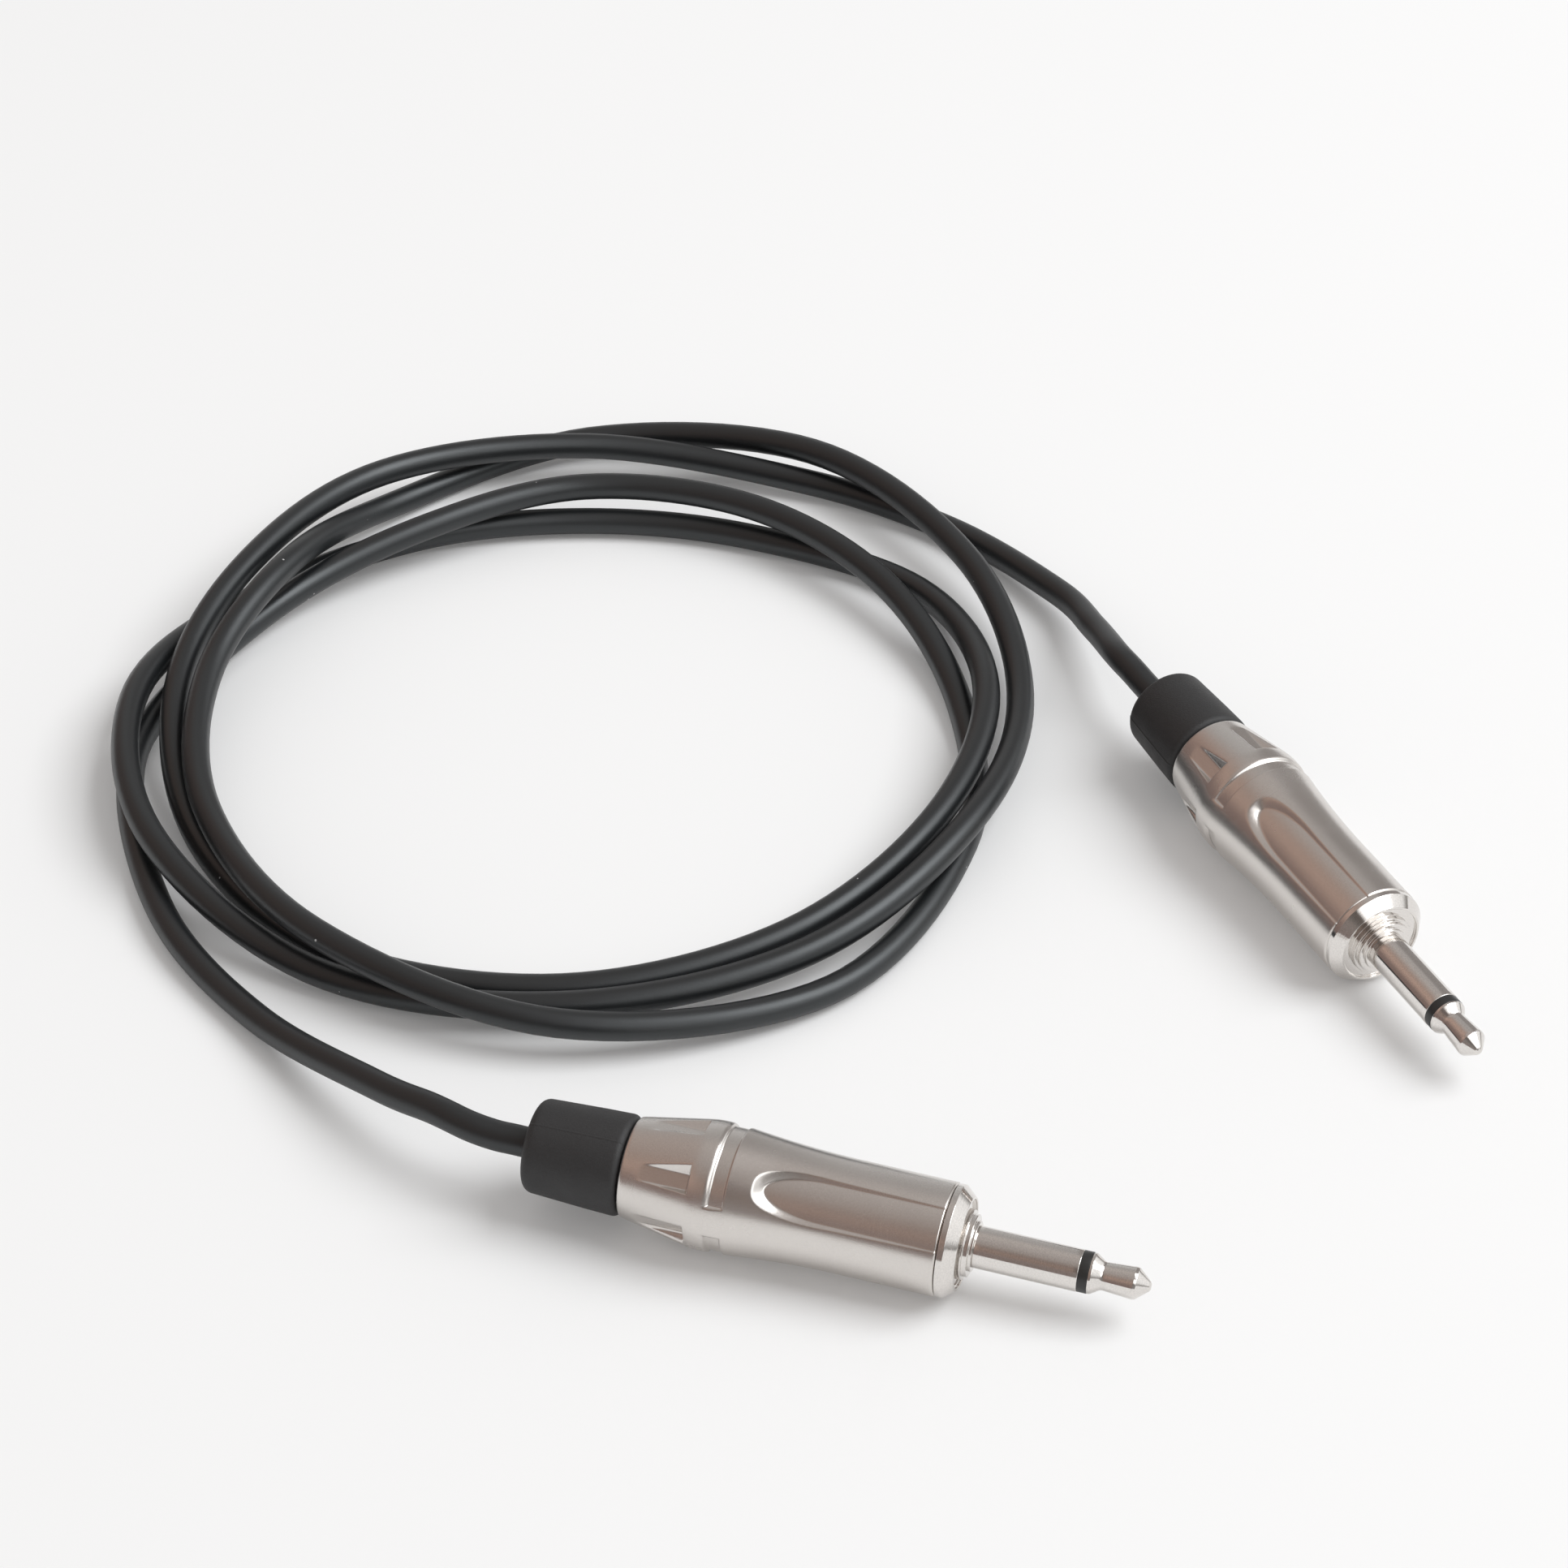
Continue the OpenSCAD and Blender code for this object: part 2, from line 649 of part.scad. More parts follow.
lay_a() rotate([plug_a_roll, 0, 0]) shell();  // shell_a
lay_a() boot();  // boot_a
lay_a() liner();  // liner_a
lay_a() plug_body();  // plug_body_a
lay_a() sleeve();  // sleeve_a
lay_a() insulator();  // insulator_a
lay_a() tip();  // tip_a
lay_a() washer();  // washer_a
lay_a() ground_lug();  // ground_lug_a
lay_a() tip_lug();  // tip_lug_a
lay_a() cord_end();  // cord_end_a
lay_a() core();  // core_a
lay_a() screen();  // screen_a

lay_b() rotate([plug_b_roll, 0, 0]) shell();  // shell_b
lay_b() boot();  // boot_b
lay_b() liner();  // liner_b
lay_b() plug_body();  // plug_body_b
lay_b() sleeve();  // sleeve_b
lay_b() insulator();  // insulator_b
lay_b() tip();  // tip_b
lay_b() washer();  // washer_b
lay_b() ground_lug();  // ground_lug_b
lay_b() tip_lug();  // tip_lug_b
lay_b() cord_end();  // cord_end_b
lay_b() core();  // core_b
lay_b() screen();  // screen_b

cord_lead_a();
cord_coil();
cord_lead_b();
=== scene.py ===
# %% [markdown]
# # A coiled instrument patch cable
# The object is a thin black cord, a little under a metre long, that lies in three and a
# third loose turns on a white table. Each end carries a straight 3.5 mm mono plug: a
# rubber boot, a satin metal shell with thumb recesses, and polished contacts. This lesson
# dresses the imported CAD model: every piece that shows is worked out again as a fine
# surface, because a highlight on metal only looks right when each edge is slightly round.

# %% Load the CAD model
import math

import bpy
import numpy as np
from mathutils import Matrix


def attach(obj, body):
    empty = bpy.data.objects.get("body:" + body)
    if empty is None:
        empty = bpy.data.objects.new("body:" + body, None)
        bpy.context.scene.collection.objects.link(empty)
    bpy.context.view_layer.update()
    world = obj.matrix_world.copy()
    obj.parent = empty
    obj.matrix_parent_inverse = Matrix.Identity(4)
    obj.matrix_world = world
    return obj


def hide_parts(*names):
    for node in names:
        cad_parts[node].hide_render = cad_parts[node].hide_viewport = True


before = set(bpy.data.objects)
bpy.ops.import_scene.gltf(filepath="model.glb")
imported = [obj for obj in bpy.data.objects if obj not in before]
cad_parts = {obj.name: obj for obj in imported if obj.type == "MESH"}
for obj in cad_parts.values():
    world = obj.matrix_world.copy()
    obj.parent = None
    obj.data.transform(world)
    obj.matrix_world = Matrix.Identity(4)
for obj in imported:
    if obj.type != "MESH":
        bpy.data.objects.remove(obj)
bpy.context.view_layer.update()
MM = 0.001

# %% [markdown]
# ## Camera
# A long lens from a raised viewpoint, as for a product picture on a table. The camera is
# set from the point it looks at, its distance, its height angle and a trace of roll, so
# each of these can be read and changed by itself.

# %% Camera
def place_camera(aim, distance, elevation, roll, lens):
    """A camera at distance from aim, on the near side, looking back down at it.
    Its three axes are right, up and back; roll turns right and up about back."""
    back = np.array([0.0, -math.cos(elevation), math.sin(elevation)])
    up = np.array([0.0, math.sin(elevation), math.cos(elevation)])
    right = np.array([1.0, 0.0, 0.0])
    side = math.cos(roll) * right + math.sin(roll) * up
    top = math.cos(roll) * up - math.sin(roll) * right
    data = bpy.data.cameras.new("camera")
    data.lens = lens
    data.sensor_width = 36.0
    data.clip_start, data.clip_end = 0.02, 20.0
    camera = bpy.data.objects.new("camera", data)
    pose = np.eye(4)
    pose[:3, 0], pose[:3, 1], pose[:3, 2] = side, top, back
    pose[:3, 3] = aim + distance * back
    camera.matrix_world = Matrix(pose.tolist())
    bpy.context.scene.collection.objects.link(camera)
    return camera


AIM = np.array([-18.92, 33.46, 0.0]) * MM
bpy.context.scene.camera = place_camera(
    AIM, distance=0.43608, elevation=math.radians(37.89), roll=math.radians(-0.30), lens=108.1
)
bpy.context.scene.view_settings.view_transform = "Standard"
print("camera at", [round(v, 4) for v in bpy.context.scene.camera.matrix_world.translation])

# %% [markdown]
# ## Where each plug lies
# A plug is easiest to describe by itself: x runs along its axis with the shell's front
# rim at 0 and the tip at positive x. It lies on its shoulder and on its front rim, so it
# points down by a small angle. One function then lays any points of a plug on the table.

# %% Lay a plug
SHELL_R, SHOULDER_R, SHOULDER_X, CHAMFER, SHELL_LEN = 4.75, 5.425, 18.7, 0.15, 27.0
LIE = math.atan((SHOULDER_R - SHELL_R) / (SHOULDER_X - CHAMFER))
PLUGS = {
    "a": {"at": (-5.85, -32.79), "turn": math.radians(-17), "roll": math.radians(38)},
    "b": {"at": (32.32, 5.67), "turn": math.radians(-63), "roll": math.radians(33)},
}


def plug_frame(plug):
    """The plug's turn matrix and the place of its shell's front rim, in millimetres:
    first tipped nose-down about y, then turned about the vertical."""
    c, s = math.cos(LIE), math.sin(LIE)
    tip = np.array([[c, 0, s], [0, 1, 0], [-s, 0, c]])
    c, s = math.cos(PLUGS[plug]["turn"]), math.sin(PLUGS[plug]["turn"])
    turn = np.array([[c, -s, 0], [s, c, 0], [0, 0, 1]])
    height = SHELL_R * math.cos(LIE) - CHAMFER * math.sin(LIE)
    at = np.array([*PLUGS[plug]["at"], height])
    return turn @ tip, at


def lay(points, plug):
    """Points of one plug, in millimetres, moved to the table and turned into metres."""
    turn, at = plug_frame(plug)
    return (np.asarray(points, float) @ turn.T + at) * MM


print("nose-down angle:", round(math.degrees(LIE), 2), "degrees")

# %% [markdown]
# ## The cord's route
# The cord is one soft piece of fixed length, so its route is settled before anything
# else. It leaves each boot straight, sinks to the table, and winds round in loose turns
# that ride over and under each other. The turns are stations every 30 degrees round a
# centre: a radius and a height. A smooth curve through all points gives the cord.

# %% Route points
BOOT_GAP, BOOT_LEN = 0.06, 8.4
BOOT_END = SHELL_LEN + BOOT_GAP + BOOT_LEN
CORD_R = 1.3
COIL_CENTRE = np.array([-38.46, 42.96])
COIL_START, COIL_STEP = 60, 30
COIL_STATIONS = np.array([
    (43.5, 1.75), (41.25, 3.75), (40.25, 5), (36.75, 6), (37.25, 4.25), (38.75, 1.75),
    (40.75, 1.5), (40.25, 1.5), (39.75, 2.75), (38.75, 4.25), (38.5, 4.25), (37.75, 1.75),
    (32.75, 1.5), (31.25, 1.5), (32.5, 1.75), (36.75, 1.5), (41, 4.25), (43.5, 4.5),
    (44, 2), (43.5, 2.25), (43.25, 3.25), (42, 4.75), (41.75, 3.25), (43, 4),
    (45, 4.5), (45, 2), (39, 1.75), (32.5, 7), (34.25, 5.75), (37.75, 5),
    (43, 5.5), (47.25, 3.5), (47, 1.5), (41.25, 1.5), (36.25, 1.5), (34, 3.75),
    (33.25, 4.75), (32.5, 4.75), (30.25, 4.5), (33.25, 2.5), (39.25, 1.5),
])
LEAD_B = [(13.64, 42.46, 6.2), (12.44, 45.36, 5.9), (10.74, 51.96, 4.2),
          (7.54, 60.46, 2.5), (-2.46, 72.46, 1.5)]
LEAD_A = [(-78.96, 29.96, 1.5), (-73.76, 11.96, 1.5), (-64.46, -1.54, 1.7),
          (-53.46, -13.54, 4.8), (-48.26, -18.24, 6.25), (-45.16, -20.44, 6.3)]


def on_axis(plug, back):
    """Points on a plug's axis, at distances behind the shell's front rim, in mm."""
    turn, at = plug_frame(plug)
    return at - np.outer(back, turn[:, 0])


angle = np.radians(COIL_START + COIL_STEP * np.arange(len(COIL_STATIONS)))
coil = np.column_stack([
    COIL_CENTRE[0] + COIL_STATIONS[:, 0] * np.cos(angle),
    COIL_CENTRE[1] + COIL_STATIONS[:, 0] * np.sin(angle),
    COIL_STATIONS[:, 1],
])
exit_steps = np.array([-3.4, 0, 1.7, 3.4])
route = np.vstack([
    on_axis("b", BOOT_END + exit_steps), LEAD_B, coil, LEAD_A,
    on_axis("a", BOOT_END + exit_steps[::-1]),
])
print("route points:", len(route))

# %% Smooth curve
def smooth_curve(points, steps):
    """The curve through all points but the first and last. Between two points q and r,
    with neighbours p and s, it is the cubic that passes both and runs at each along the
    line that joins that point's own neighbours."""
    p, q, r, s = (points[i:len(points) - 3 + i, None] for i in range(4))
    t = (np.arange(steps) / steps)[None, :, None]
    cubic = (2 * q + (r - p) * t + (2 * p - 5 * q + 4 * r - s) * t ** 2
             + (3 * q - p - 3 * r + s) * t ** 3) / 2
    return np.vstack([cubic.reshape(-1, 3), points[-2]])


STEPS_BETWEEN = 12
cord_path = smooth_curve(route, STEPS_BETWEEN) * MM
cord_length = np.linalg.norm(np.diff(cord_path, axis=0), axis=1).sum()
print("cord length:", round(float(cord_length), 4), "m")

# %% [markdown]
# ## The cord
# A curve with a round bevel is the plainest way to give a path a body, and Blender keeps
# the tube free of twists. The curve is then made a mesh, whose box is exactly as large as
# the tube. The ends stay inside the boots' mouths.

# %% Make the cord
def make_cord(name, path, radius):
    """One open spline through path, as a round mesh tube of that radius."""
    curve = bpy.data.curves.new(name + "_line", "CURVE")
    curve.dimensions = "3D"
    curve.bevel_depth = radius
    curve.bevel_resolution = 6
    curve.use_fill_caps = True
    spline = curve.splines.new("POLY")
    spline.points.add(len(path) - 1)
    spline.points.foreach_set("co", np.column_stack([path, np.ones(len(path))]).ravel())
    spline.use_smooth = True
    line = bpy.data.objects.new(name + "_line", curve)
    cord = bpy.data.objects.new(name, bpy.data.meshes.new_from_object(line))
    bpy.data.objects.remove(line)
    bpy.context.scene.collection.objects.link(cord)
    return cord


cord = make_cord("cord", cord_path, CORD_R * MM)
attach(cord, "lead")
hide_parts("cord_lead_a", "cord_coil", "cord_lead_b")
print("cord tube:", len(cord_path), "points,", len(cord.data.polygons), "faces")

# %% [markdown]
# ## Node helpers for materials
# A finish is a small graph of shader nodes. A few helpers keep each one short: the first
# adds any node and sets its values, and the others make what every finish here needs, a
# principled shader, object coordinates, noise, a change of range, a bump and a blend.

# %% Material helpers
def add(tree, kind, inputs=None, **settings):
    """Adds one node. inputs maps a socket to a value or to another node's output."""
    node = tree.nodes.new(kind)
    for key, value in settings.items():
        setattr(node, key, value)
    for key, value in (inputs or {}).items():
        if isinstance(value, bpy.types.NodeSocket):
            tree.links.new(value, node.inputs[key])
        else:
            node.inputs[key].default_value = value
    return node


def new_material(name, color, metallic, roughness, specular=0.5):
    """A material with one principled shader, and its tree and shader."""
    material = bpy.data.materials.new(name)
    material.use_nodes = True
    tree = material.node_tree
    shader = tree.nodes["Principled BSDF"]
    shader.inputs["Base Color"].default_value = (*color, 1.0)
    shader.inputs["Metallic"].default_value = metallic
    shader.inputs["Roughness"].default_value = roughness
    shader.inputs["Specular IOR Level"].default_value = specular
    material.diffuse_color = (*color, 1.0)
    return material, tree, shader


def object_place(tree, plug=None):
    """Object coordinates, turned so that x runs along a plug's axis if one is named."""
    place = add(tree, "ShaderNodeTexCoord").outputs["Object"]
    if plug is None:
        return place
    turn, at = plug_frame(plug)
    back = Matrix(turn.T.tolist())
    mapping = add(tree, "ShaderNodeMapping", {"Vector": place})
    mapping.vector_type = "POINT"
    mapping.inputs["Rotation"].default_value = back.to_euler("XYZ")
    mapping.inputs["Location"].default_value = tuple(-(turn.T @ at) * MM)
    return mapping.outputs["Vector"]


def noise(tree, place, scale, detail=2.0, roughness=0.5):
    """Plain noise between 0 and 1, with features about 1/scale metres wide."""
    return add(tree, "ShaderNodeTexNoise", {
        "Vector": place, "Scale": scale, "Detail": detail, "Roughness": roughness,
    }).outputs["Fac"]


def ramp(tree, value, low, high, to_low, to_high):
    """Maps value from the range low..high to the range to_low..to_high."""
    return add(tree, "ShaderNodeMapRange", {
        "Value": value, "From Min": low, "From Max": high, "To Min": to_low, "To Max": to_high,
    }).outputs["Result"]


def bump(tree, shader, height, distance, strength):
    """Bumps the shader's surface by height times distance, in metres."""
    normal = add(tree, "ShaderNodeBump", {
        "Height": height, "Distance": distance, "Strength": strength,
    }).outputs["Normal"]
    tree.links.new(normal, shader.inputs["Normal"])


def blend_colors(tree, fac, low, high):
    """low where fac is 0 and high where it is 1; each is a colour or a node's output."""
    mix = add(tree, "ShaderNodeMix", data_type="RGBA")
    tree.links.new(fac, mix.inputs[0])
    sockets = [socket for socket in mix.inputs if socket.type == "RGBA"]
    for socket, color in zip(sockets, (low, high)):
        if isinstance(color, bpy.types.NodeSocket):
            tree.links.new(color, socket)
        else:
            socket.default_value = (*color, 1.0)
    return next(socket for socket in mix.outputs if socket.type == "RGBA")


print("material helpers ready")

# %% [markdown]
# ## Jacket
# The jacket is a smooth flexible plastic: nearly black, with a broad soft sheen. A slow
# noise makes the sheen uneven, as handling does, a fine one gives it a skin, and a few
# specks of dust sit on it. Noise in object coordinates needs no seam along the cord.

# %% Jacket finish
JACKET_BLACK, DUST_GREY = (0.009, 0.010, 0.011), (0.5, 0.5, 0.5)
DUST_REACH, DUST_CHANCE = 0.045, 0.72


def jacket_finish():
    """Each Voronoi cell has a random red value and a centre. Where the red is over
    DUST_CHANCE, what lies within DUST_REACH of the centre, in cells, is a dust speck."""
    material, tree, shader = new_material("cord_jacket", JACKET_BLACK, 0.0, 0.40, 0.7)
    shader.inputs["Specular Tint"].default_value = (0.94, 0.98, 1.0, 1.0)
    place = object_place(tree)
    smudge = noise(tree, place, 90.0, 3.0)
    tree.links.new(ramp(tree, smudge, 0.3, 0.7, 0.36, 0.44), shader.inputs["Roughness"])
    cells = add(tree, "ShaderNodeTexVoronoi", {"Vector": place, "Scale": 420.0})
    chance = add(tree, "ShaderNodeSeparateColor", {"Color": cells.outputs["Color"]})
    near = add(tree, "ShaderNodeMath", {0: cells.outputs["Distance"], 1: DUST_REACH},
               operation="LESS_THAN")
    rare = add(tree, "ShaderNodeMath", {0: chance.outputs["Red"], 1: DUST_CHANCE},
               operation="GREATER_THAN")
    speck = add(tree, "ShaderNodeMath", {0: near.outputs[0], 1: rare.outputs[0]},
                operation="MULTIPLY")
    color = blend_colors(tree, speck.outputs[0], JACKET_BLACK, DUST_GREY)
    tree.links.new(color, shader.inputs["Base Color"])
    bump(tree, shader, noise(tree, place, 5000.0, 3.0), 0.000012, 0.6)
    return material


jacket = jacket_finish()
cord.data.materials.append(jacket)
for node in ("cord_end_a", "cord_end_b"):
    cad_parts[node].data.materials.clear()
    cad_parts[node].data.materials.append(jacket)
print("finish:", jacket.name)

# %% [markdown]
# ## Surfaces from grids
# Every turned piece is a grid: rows run along the plug, columns run round it. A row's
# points are at a radius, which may change from column to column where something is cut
# in. Whole arrays are computed at once and handed to the mesh in one call.

# %% Grid to mesh
def grid_faces(rows, columns, loop_rows):
    """Corner numbers of the quads of a rows by columns grid that closes round its
    columns, and also from the last row to the first if loop_rows is true."""
    i = np.arange(rows if loop_rows else rows - 1)[:, None]
    j = np.arange(columns)[None, :]
    i2, j2 = (i + 1) % rows, (j + 1) % columns
    return np.stack([i * columns + j, i * columns + j2, i2 * columns + j2, i2 * columns + j],
                    axis=-1).reshape(-1, 4)


def mesh_object(name, points, quads, triangles, material, body, replaced):
    """Makes the object, smooth shaded, that rides on body and stands for a CAD node."""
    mesh = bpy.data.meshes.new(name)
    faces = quads.tolist() + [list(t) for t in triangles]
    mesh.from_pydata(points.tolist(), [], faces)
    mesh.polygons.foreach_set("use_smooth", np.ones(len(faces), bool))
    mesh.materials.append(material)
    mesh.update()
    piece = bpy.data.objects.new(name, mesh)
    bpy.context.scene.collection.objects.link(piece)
    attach(piece, body)
    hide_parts(replaced)
    return piece


def around(x, r, theta):
    """Grid points from stations x (rows), radii r (rows by columns) and angles theta
    (columns), measured about x from straight up towards negative y."""
    r = np.broadcast_to(r, (len(x), len(theta)))
    return np.stack([np.broadcast_to(x[:, None], r.shape), -r * np.sin(theta),
                     r * np.cos(theta)], axis=-1)


def turned_piece(name, x, r, theta, plug, material, body, replaced, roll=0.0):
    """A grid piece of a plug. Ends on the axis get a pole; otherwise the profile is a
    ring, closed from its last row to its first, such as a tube's outside and bore."""
    radius = np.broadcast_to(r if np.ndim(r) == 2 else np.asarray(r)[:, None],
                             (len(x), len(theta)))
    points = around(np.asarray(x, float), radius, theta + roll)
    poles = [k for k in (0, -1) if radius[k].max() < 1e-6]
    body_rows = slice(1 if 0 in poles else None, -1 if -1 in poles else None)
    grid = points[body_rows]
    n = len(theta)
    quads = grid_faces(len(grid), n, not poles)
    flat = grid.reshape(-1, 3)
    j = np.arange(n)
    triangles = []
    if 0 in poles:
        flat = np.vstack([flat, points[0, :1]])
        triangles += np.column_stack([np.full(n, len(flat) - 1), (j + 1) % n, j]).tolist()
    if -1 in poles:
        last = (len(grid) - 1) * n
        flat = np.vstack([flat, points[-1, :1]])
        triangles += np.column_stack(
            [np.full(n, len(flat) - 1), last + j, last + (j + 1) % n]).tolist()
    piece = mesh_object(name, lay(flat, plug), quads, triangles, material, body, replaced)
    face_outwards(piece)
    return piece


def face_outwards(piece):
    """Turns all faces round if the closed surface encloses a negative volume."""
    mesh = piece.data
    mesh.calc_loop_triangles()
    corner = np.empty(len(mesh.loop_triangles) * 3, int)
    mesh.loop_triangles.foreach_get("vertices", corner)
    place = np.empty(len(mesh.vertices) * 3)
    mesh.vertices.foreach_get("co", place)
    place = place.reshape(-1, 3)
    a, b, c = (place[corner[k::3]] for k in range(3))
    if np.einsum("ij,ij->i", a, np.cross(b, c)).sum() < 0:
        mesh.flip_normals()


print("grid helpers ready")

# %% [markdown]
# ## Rounded profiles
# A turned part's drawing is a line of corners. On the real part no corner is perfectly
# sharp, and that small radius is what catches the light. This function replaces each
# corner with an arc and puts extra points on long stretches.

# %% Round a profile
def rounded(corners, steps=5, longest=0.5):
    """Profile points from corners (x, r, radius). An arc touches both neighbouring
    lines: it starts radius / tan(half the corner's angle) away from the corner."""
    corner = np.array([c[:2] for c in corners], float)
    radius = np.array([c[2] if len(c) > 2 else 0.0 for c in corners], float)
    out = [corner[0]]
    for k in range(1, len(corner) - 1):
        to_last, to_next = corner[k - 1] - corner[k], corner[k + 1] - corner[k]
        la, lb = np.linalg.norm(to_last), np.linalg.norm(to_next)
        u, v = to_last / la, to_next / lb
        half = math.acos(max(-1, min(1, float(u @ v)))) / 2
        reach = min(radius[k] / math.tan(half) if radius[k] else 0.0, 0.49 * la, 0.49 * lb)
        if reach < 1e-6:
            out.append(corner[k])
            continue
        r = reach * math.tan(half)
        centre = corner[k] + (u + v) / np.linalg.norm(u + v) * (r / math.sin(half))
        first, last = corner[k] + u * reach - centre, corner[k] + v * reach - centre
        sweep = math.atan2(first[0] * last[1] - first[1] * last[0], float(first @ last))
        turn = np.linspace(0, sweep, steps)[:, None]
        out.extend(centre + first * np.cos(turn) + np.array([-first[1], first[0]]) * np.sin(turn))
    out.append(corner[-1])
    dense = [out[0]]
    for here, there in zip(out[:-1], out[1:]):
        count = max(1, math.ceil(np.linalg.norm(there - here) / longest))
        dense.extend(here + (there - here) * k / count for k in range(1, count + 1))
    dense = np.array(dense)
    return dense[:, 0], dense[:, 1]


ROUND = np.linspace(0, 2 * np.pi, 192, endpoint=False)
print("columns round a turned piece:", len(ROUND))

# %% [markdown]
# ## Metal finishes
# Two nickel finishes meet on the plug. The shell is bead-blasted before plating, so it
# spreads a reflection into a soft band; the contacts are turned and polished, so they
# mirror the table, with hair-fine lines that run round them. Both are metals: their
# colour is in the reflection, and roughness and bump make the difference.

# %% Metal finishes
NICKEL = (0.78, 0.75, 0.72)
# The dark satin colour is painted shade in the grain's hollows, the light one painted light on its
# crests.
SATIN, SATIN_HOLLOW_SHADE, SATIN_CREST_LIGHT = (0.70, 0.665, 0.635), (0.58, 0.55, 0.52), (0.80, 0.765, 0.735)


def satin_nickel(plug):
    """A fine grain bumps the metal, and the same grain paints its hollows darker and its crests
    lighter as painted shade and light. A slow cloud changes how far it spreads a reflection."""
    material, tree, shader = new_material("shell_satin_" + plug, SATIN, 1.0, 0.25)
    place = object_place(tree)
    grain_and_shade = noise(tree, place, 12000.0, 2.0, 0.6)
    cloud = noise(tree, place, 260.0, 3.0)
    tree.links.new(ramp(tree, cloud, 0.3, 0.7, 0.23, 0.28), shader.inputs["Roughness"])
    # Painted shade and light: the grain's low spots take the darker colour, its high spots the
    # lighter one.
    tone = blend_colors(tree, grain_and_shade, SATIN_HOLLOW_SHADE, SATIN_CREST_LIGHT)
    tree.links.new(tone, shader.inputs["Base Color"])
    bump(tree, shader, grain_and_shade, 0.000012, 0.35)
    return material


def polished_nickel(plug):
    """Noise stretched across the plug's axis gives lines that run round it. A finer one
    dulls the metal in small worn patches, and a slow one changes its roughness."""
    material, tree, shader = new_material("contact_polished_" + plug, NICKEL, 1.0, 0.1)
    place = object_place(tree, plug)
    stretch = add(tree, "ShaderNodeMapping", {"Vector": place, "Scale": (1.0, 0.03, 0.03)})
    lines = noise(tree, stretch.outputs["Vector"], 9000.0, 3.0, 0.6)
    rub = noise(tree, place, 700.0, 3.0)
    tree.links.new(ramp(tree, rub, 0.35, 0.7, 0.07, 0.14), shader.inputs["Roughness"])
    wear = ramp(tree, noise(tree, place, 8000.0, 3.0, 0.7), 0.35, 0.6, 0.0, 1.0)
    tone = blend_colors(tree, wear, tuple(0.87 * c for c in NICKEL), NICKEL)
    tree.links.new(tone, shader.inputs["Base Color"])
    bump(tree, shader, lines, 0.000012, 0.35)
    return material


satin = {plug: satin_nickel(plug) for plug in PLUGS}
polished = {plug: polished_nickel(plug) for plug in PLUGS}
print("metal finishes:", len(satin) + len(polished))

# %% [markdown]
# ## Plug body
# The flange closes the shell's front. It has a straight edge, a sloping side up to a thin
# lip round a sunk face, three small steps in front, and behind it the thread that the
# shell screws onto. The thread is a grid whose radius falls and rises with the station
# plus the angle, so one turn round moves the groove one pitch along: a true helix with
# no extra geometry.

# %% Plug body
FLANGE_X, FACE_X, LIP_X, RING_END, STEP_X, CONTACT_X = 0.06, 1.26, 1.51, 1.76, 2.16, 2.41
RING_X, TIP_X = 11.11, 11.91
PITCH, THREAD_END, THREAD_DEPTH = 0.75, -3.0, 0.42


def plug_body(plug):
    """Profile rows from the sleeve's collar back to the boss, then the bore forward.
    On the thread, radius = crest - depth * twice the distance from the nearest crest
    line, in pitches."""
    x, r = rounded([
        (CONTACT_X, 1.5), (CONTACT_X, 2.1, 0.05), (STEP_X, 2.1, 0.05), (STEP_X, 2.6, 0.06),
        (RING_END, 2.6, 0.04), (RING_END, 2.9, 0.05), (FACE_X, 2.9, 0.05),
        (FACE_X, 3.7, 0.06), (LIP_X, 3.7, 0.05), (LIP_X, 3.9, 0.06),
        (FLANGE_X + 0.5, 4.7, 0.05), (FLANGE_X, 4.7, 0.03),
        (FLANGE_X, 3.75, 0.03), (THREAD_END, 3.75, 0.1), (THREAD_END, 3.0, 0.05),
        (-5.6, 3.0, 0.1), (-5.6, 1.5),
    ], longest=0.06)
    thread = (x < FLANGE_X - 0.15) & (x > THREAD_END + 0.1) & (r > 3.5)
    phase = (x[:, None] / PITCH + ROUND[None, :] / (2 * np.pi)) % 1.0
    groove = THREAD_DEPTH * 2 * (0.5 - np.abs(phase - 0.5))
    radius = r[:, None] - np.where(thread[:, None], groove, 0.0)
    return turned_piece("plug_body_" + plug + "_turned", x, radius, ROUND, plug,
                        polished[plug], "lead", "plug_body_" + plug)


for plug in PLUGS:
    print(plug, len(plug_body(plug).data.polygons), "faces")

# %% [markdown]
# ## Sleeve, ring and tip
# The contact that enters a socket is three turned pieces: the sleeve, a black insulating
# ring, and the tip with its waist for the socket's spring. They are almost equally thick,
# and each keeps its own small edge radius, so a fine dark line shows where they meet.

# %% Sleeve, ring and tip
def sleeve(plug):
    """Collar inside the plug body, then a straight tube with a rounded front edge."""
    x, r = rounded([
        (-6.0, 1.2), (-6.0, 1.5, 0.05), (CONTACT_X, 1.5), (CONTACT_X, 1.75, 0.04),
        (RING_X, 1.75, 0.06), (RING_X, 1.2), (-6.0, 1.2),
    ])
    return turned_piece("sleeve_" + plug + "_turned", x[:-1], r[:-1], ROUND, plug,
                        polished[plug], "lead", "sleeve_" + plug)


def tip(plug):
    """Rivet head and rod inside, then the collar, the waist, which widens forward, and
    the blunt cone."""
    x, r = rounded([
        (-7.6, 0), (-7.6, 1.1, 0.1), (-7.2, 1.1, 0.1), (-7.2, 0.7), (TIP_X, 0.7),
        (TIP_X, 1.7, 0.07), (12.15, 1.7, 0.1), (12.96, 1.16, 0.5), (15.55, 1.35, 0.06),
        (15.78, 1.3, 0.08), (16.8, 0.42, 0.12), (16.91, 0.25, 0.1), (16.91, 0),
    ], steps=7, longest=0.2)
    return turned_piece("tip_" + plug + "_turned", x, r, ROUND, plug,
                        polished[plug], "lead", "tip_" + plug)


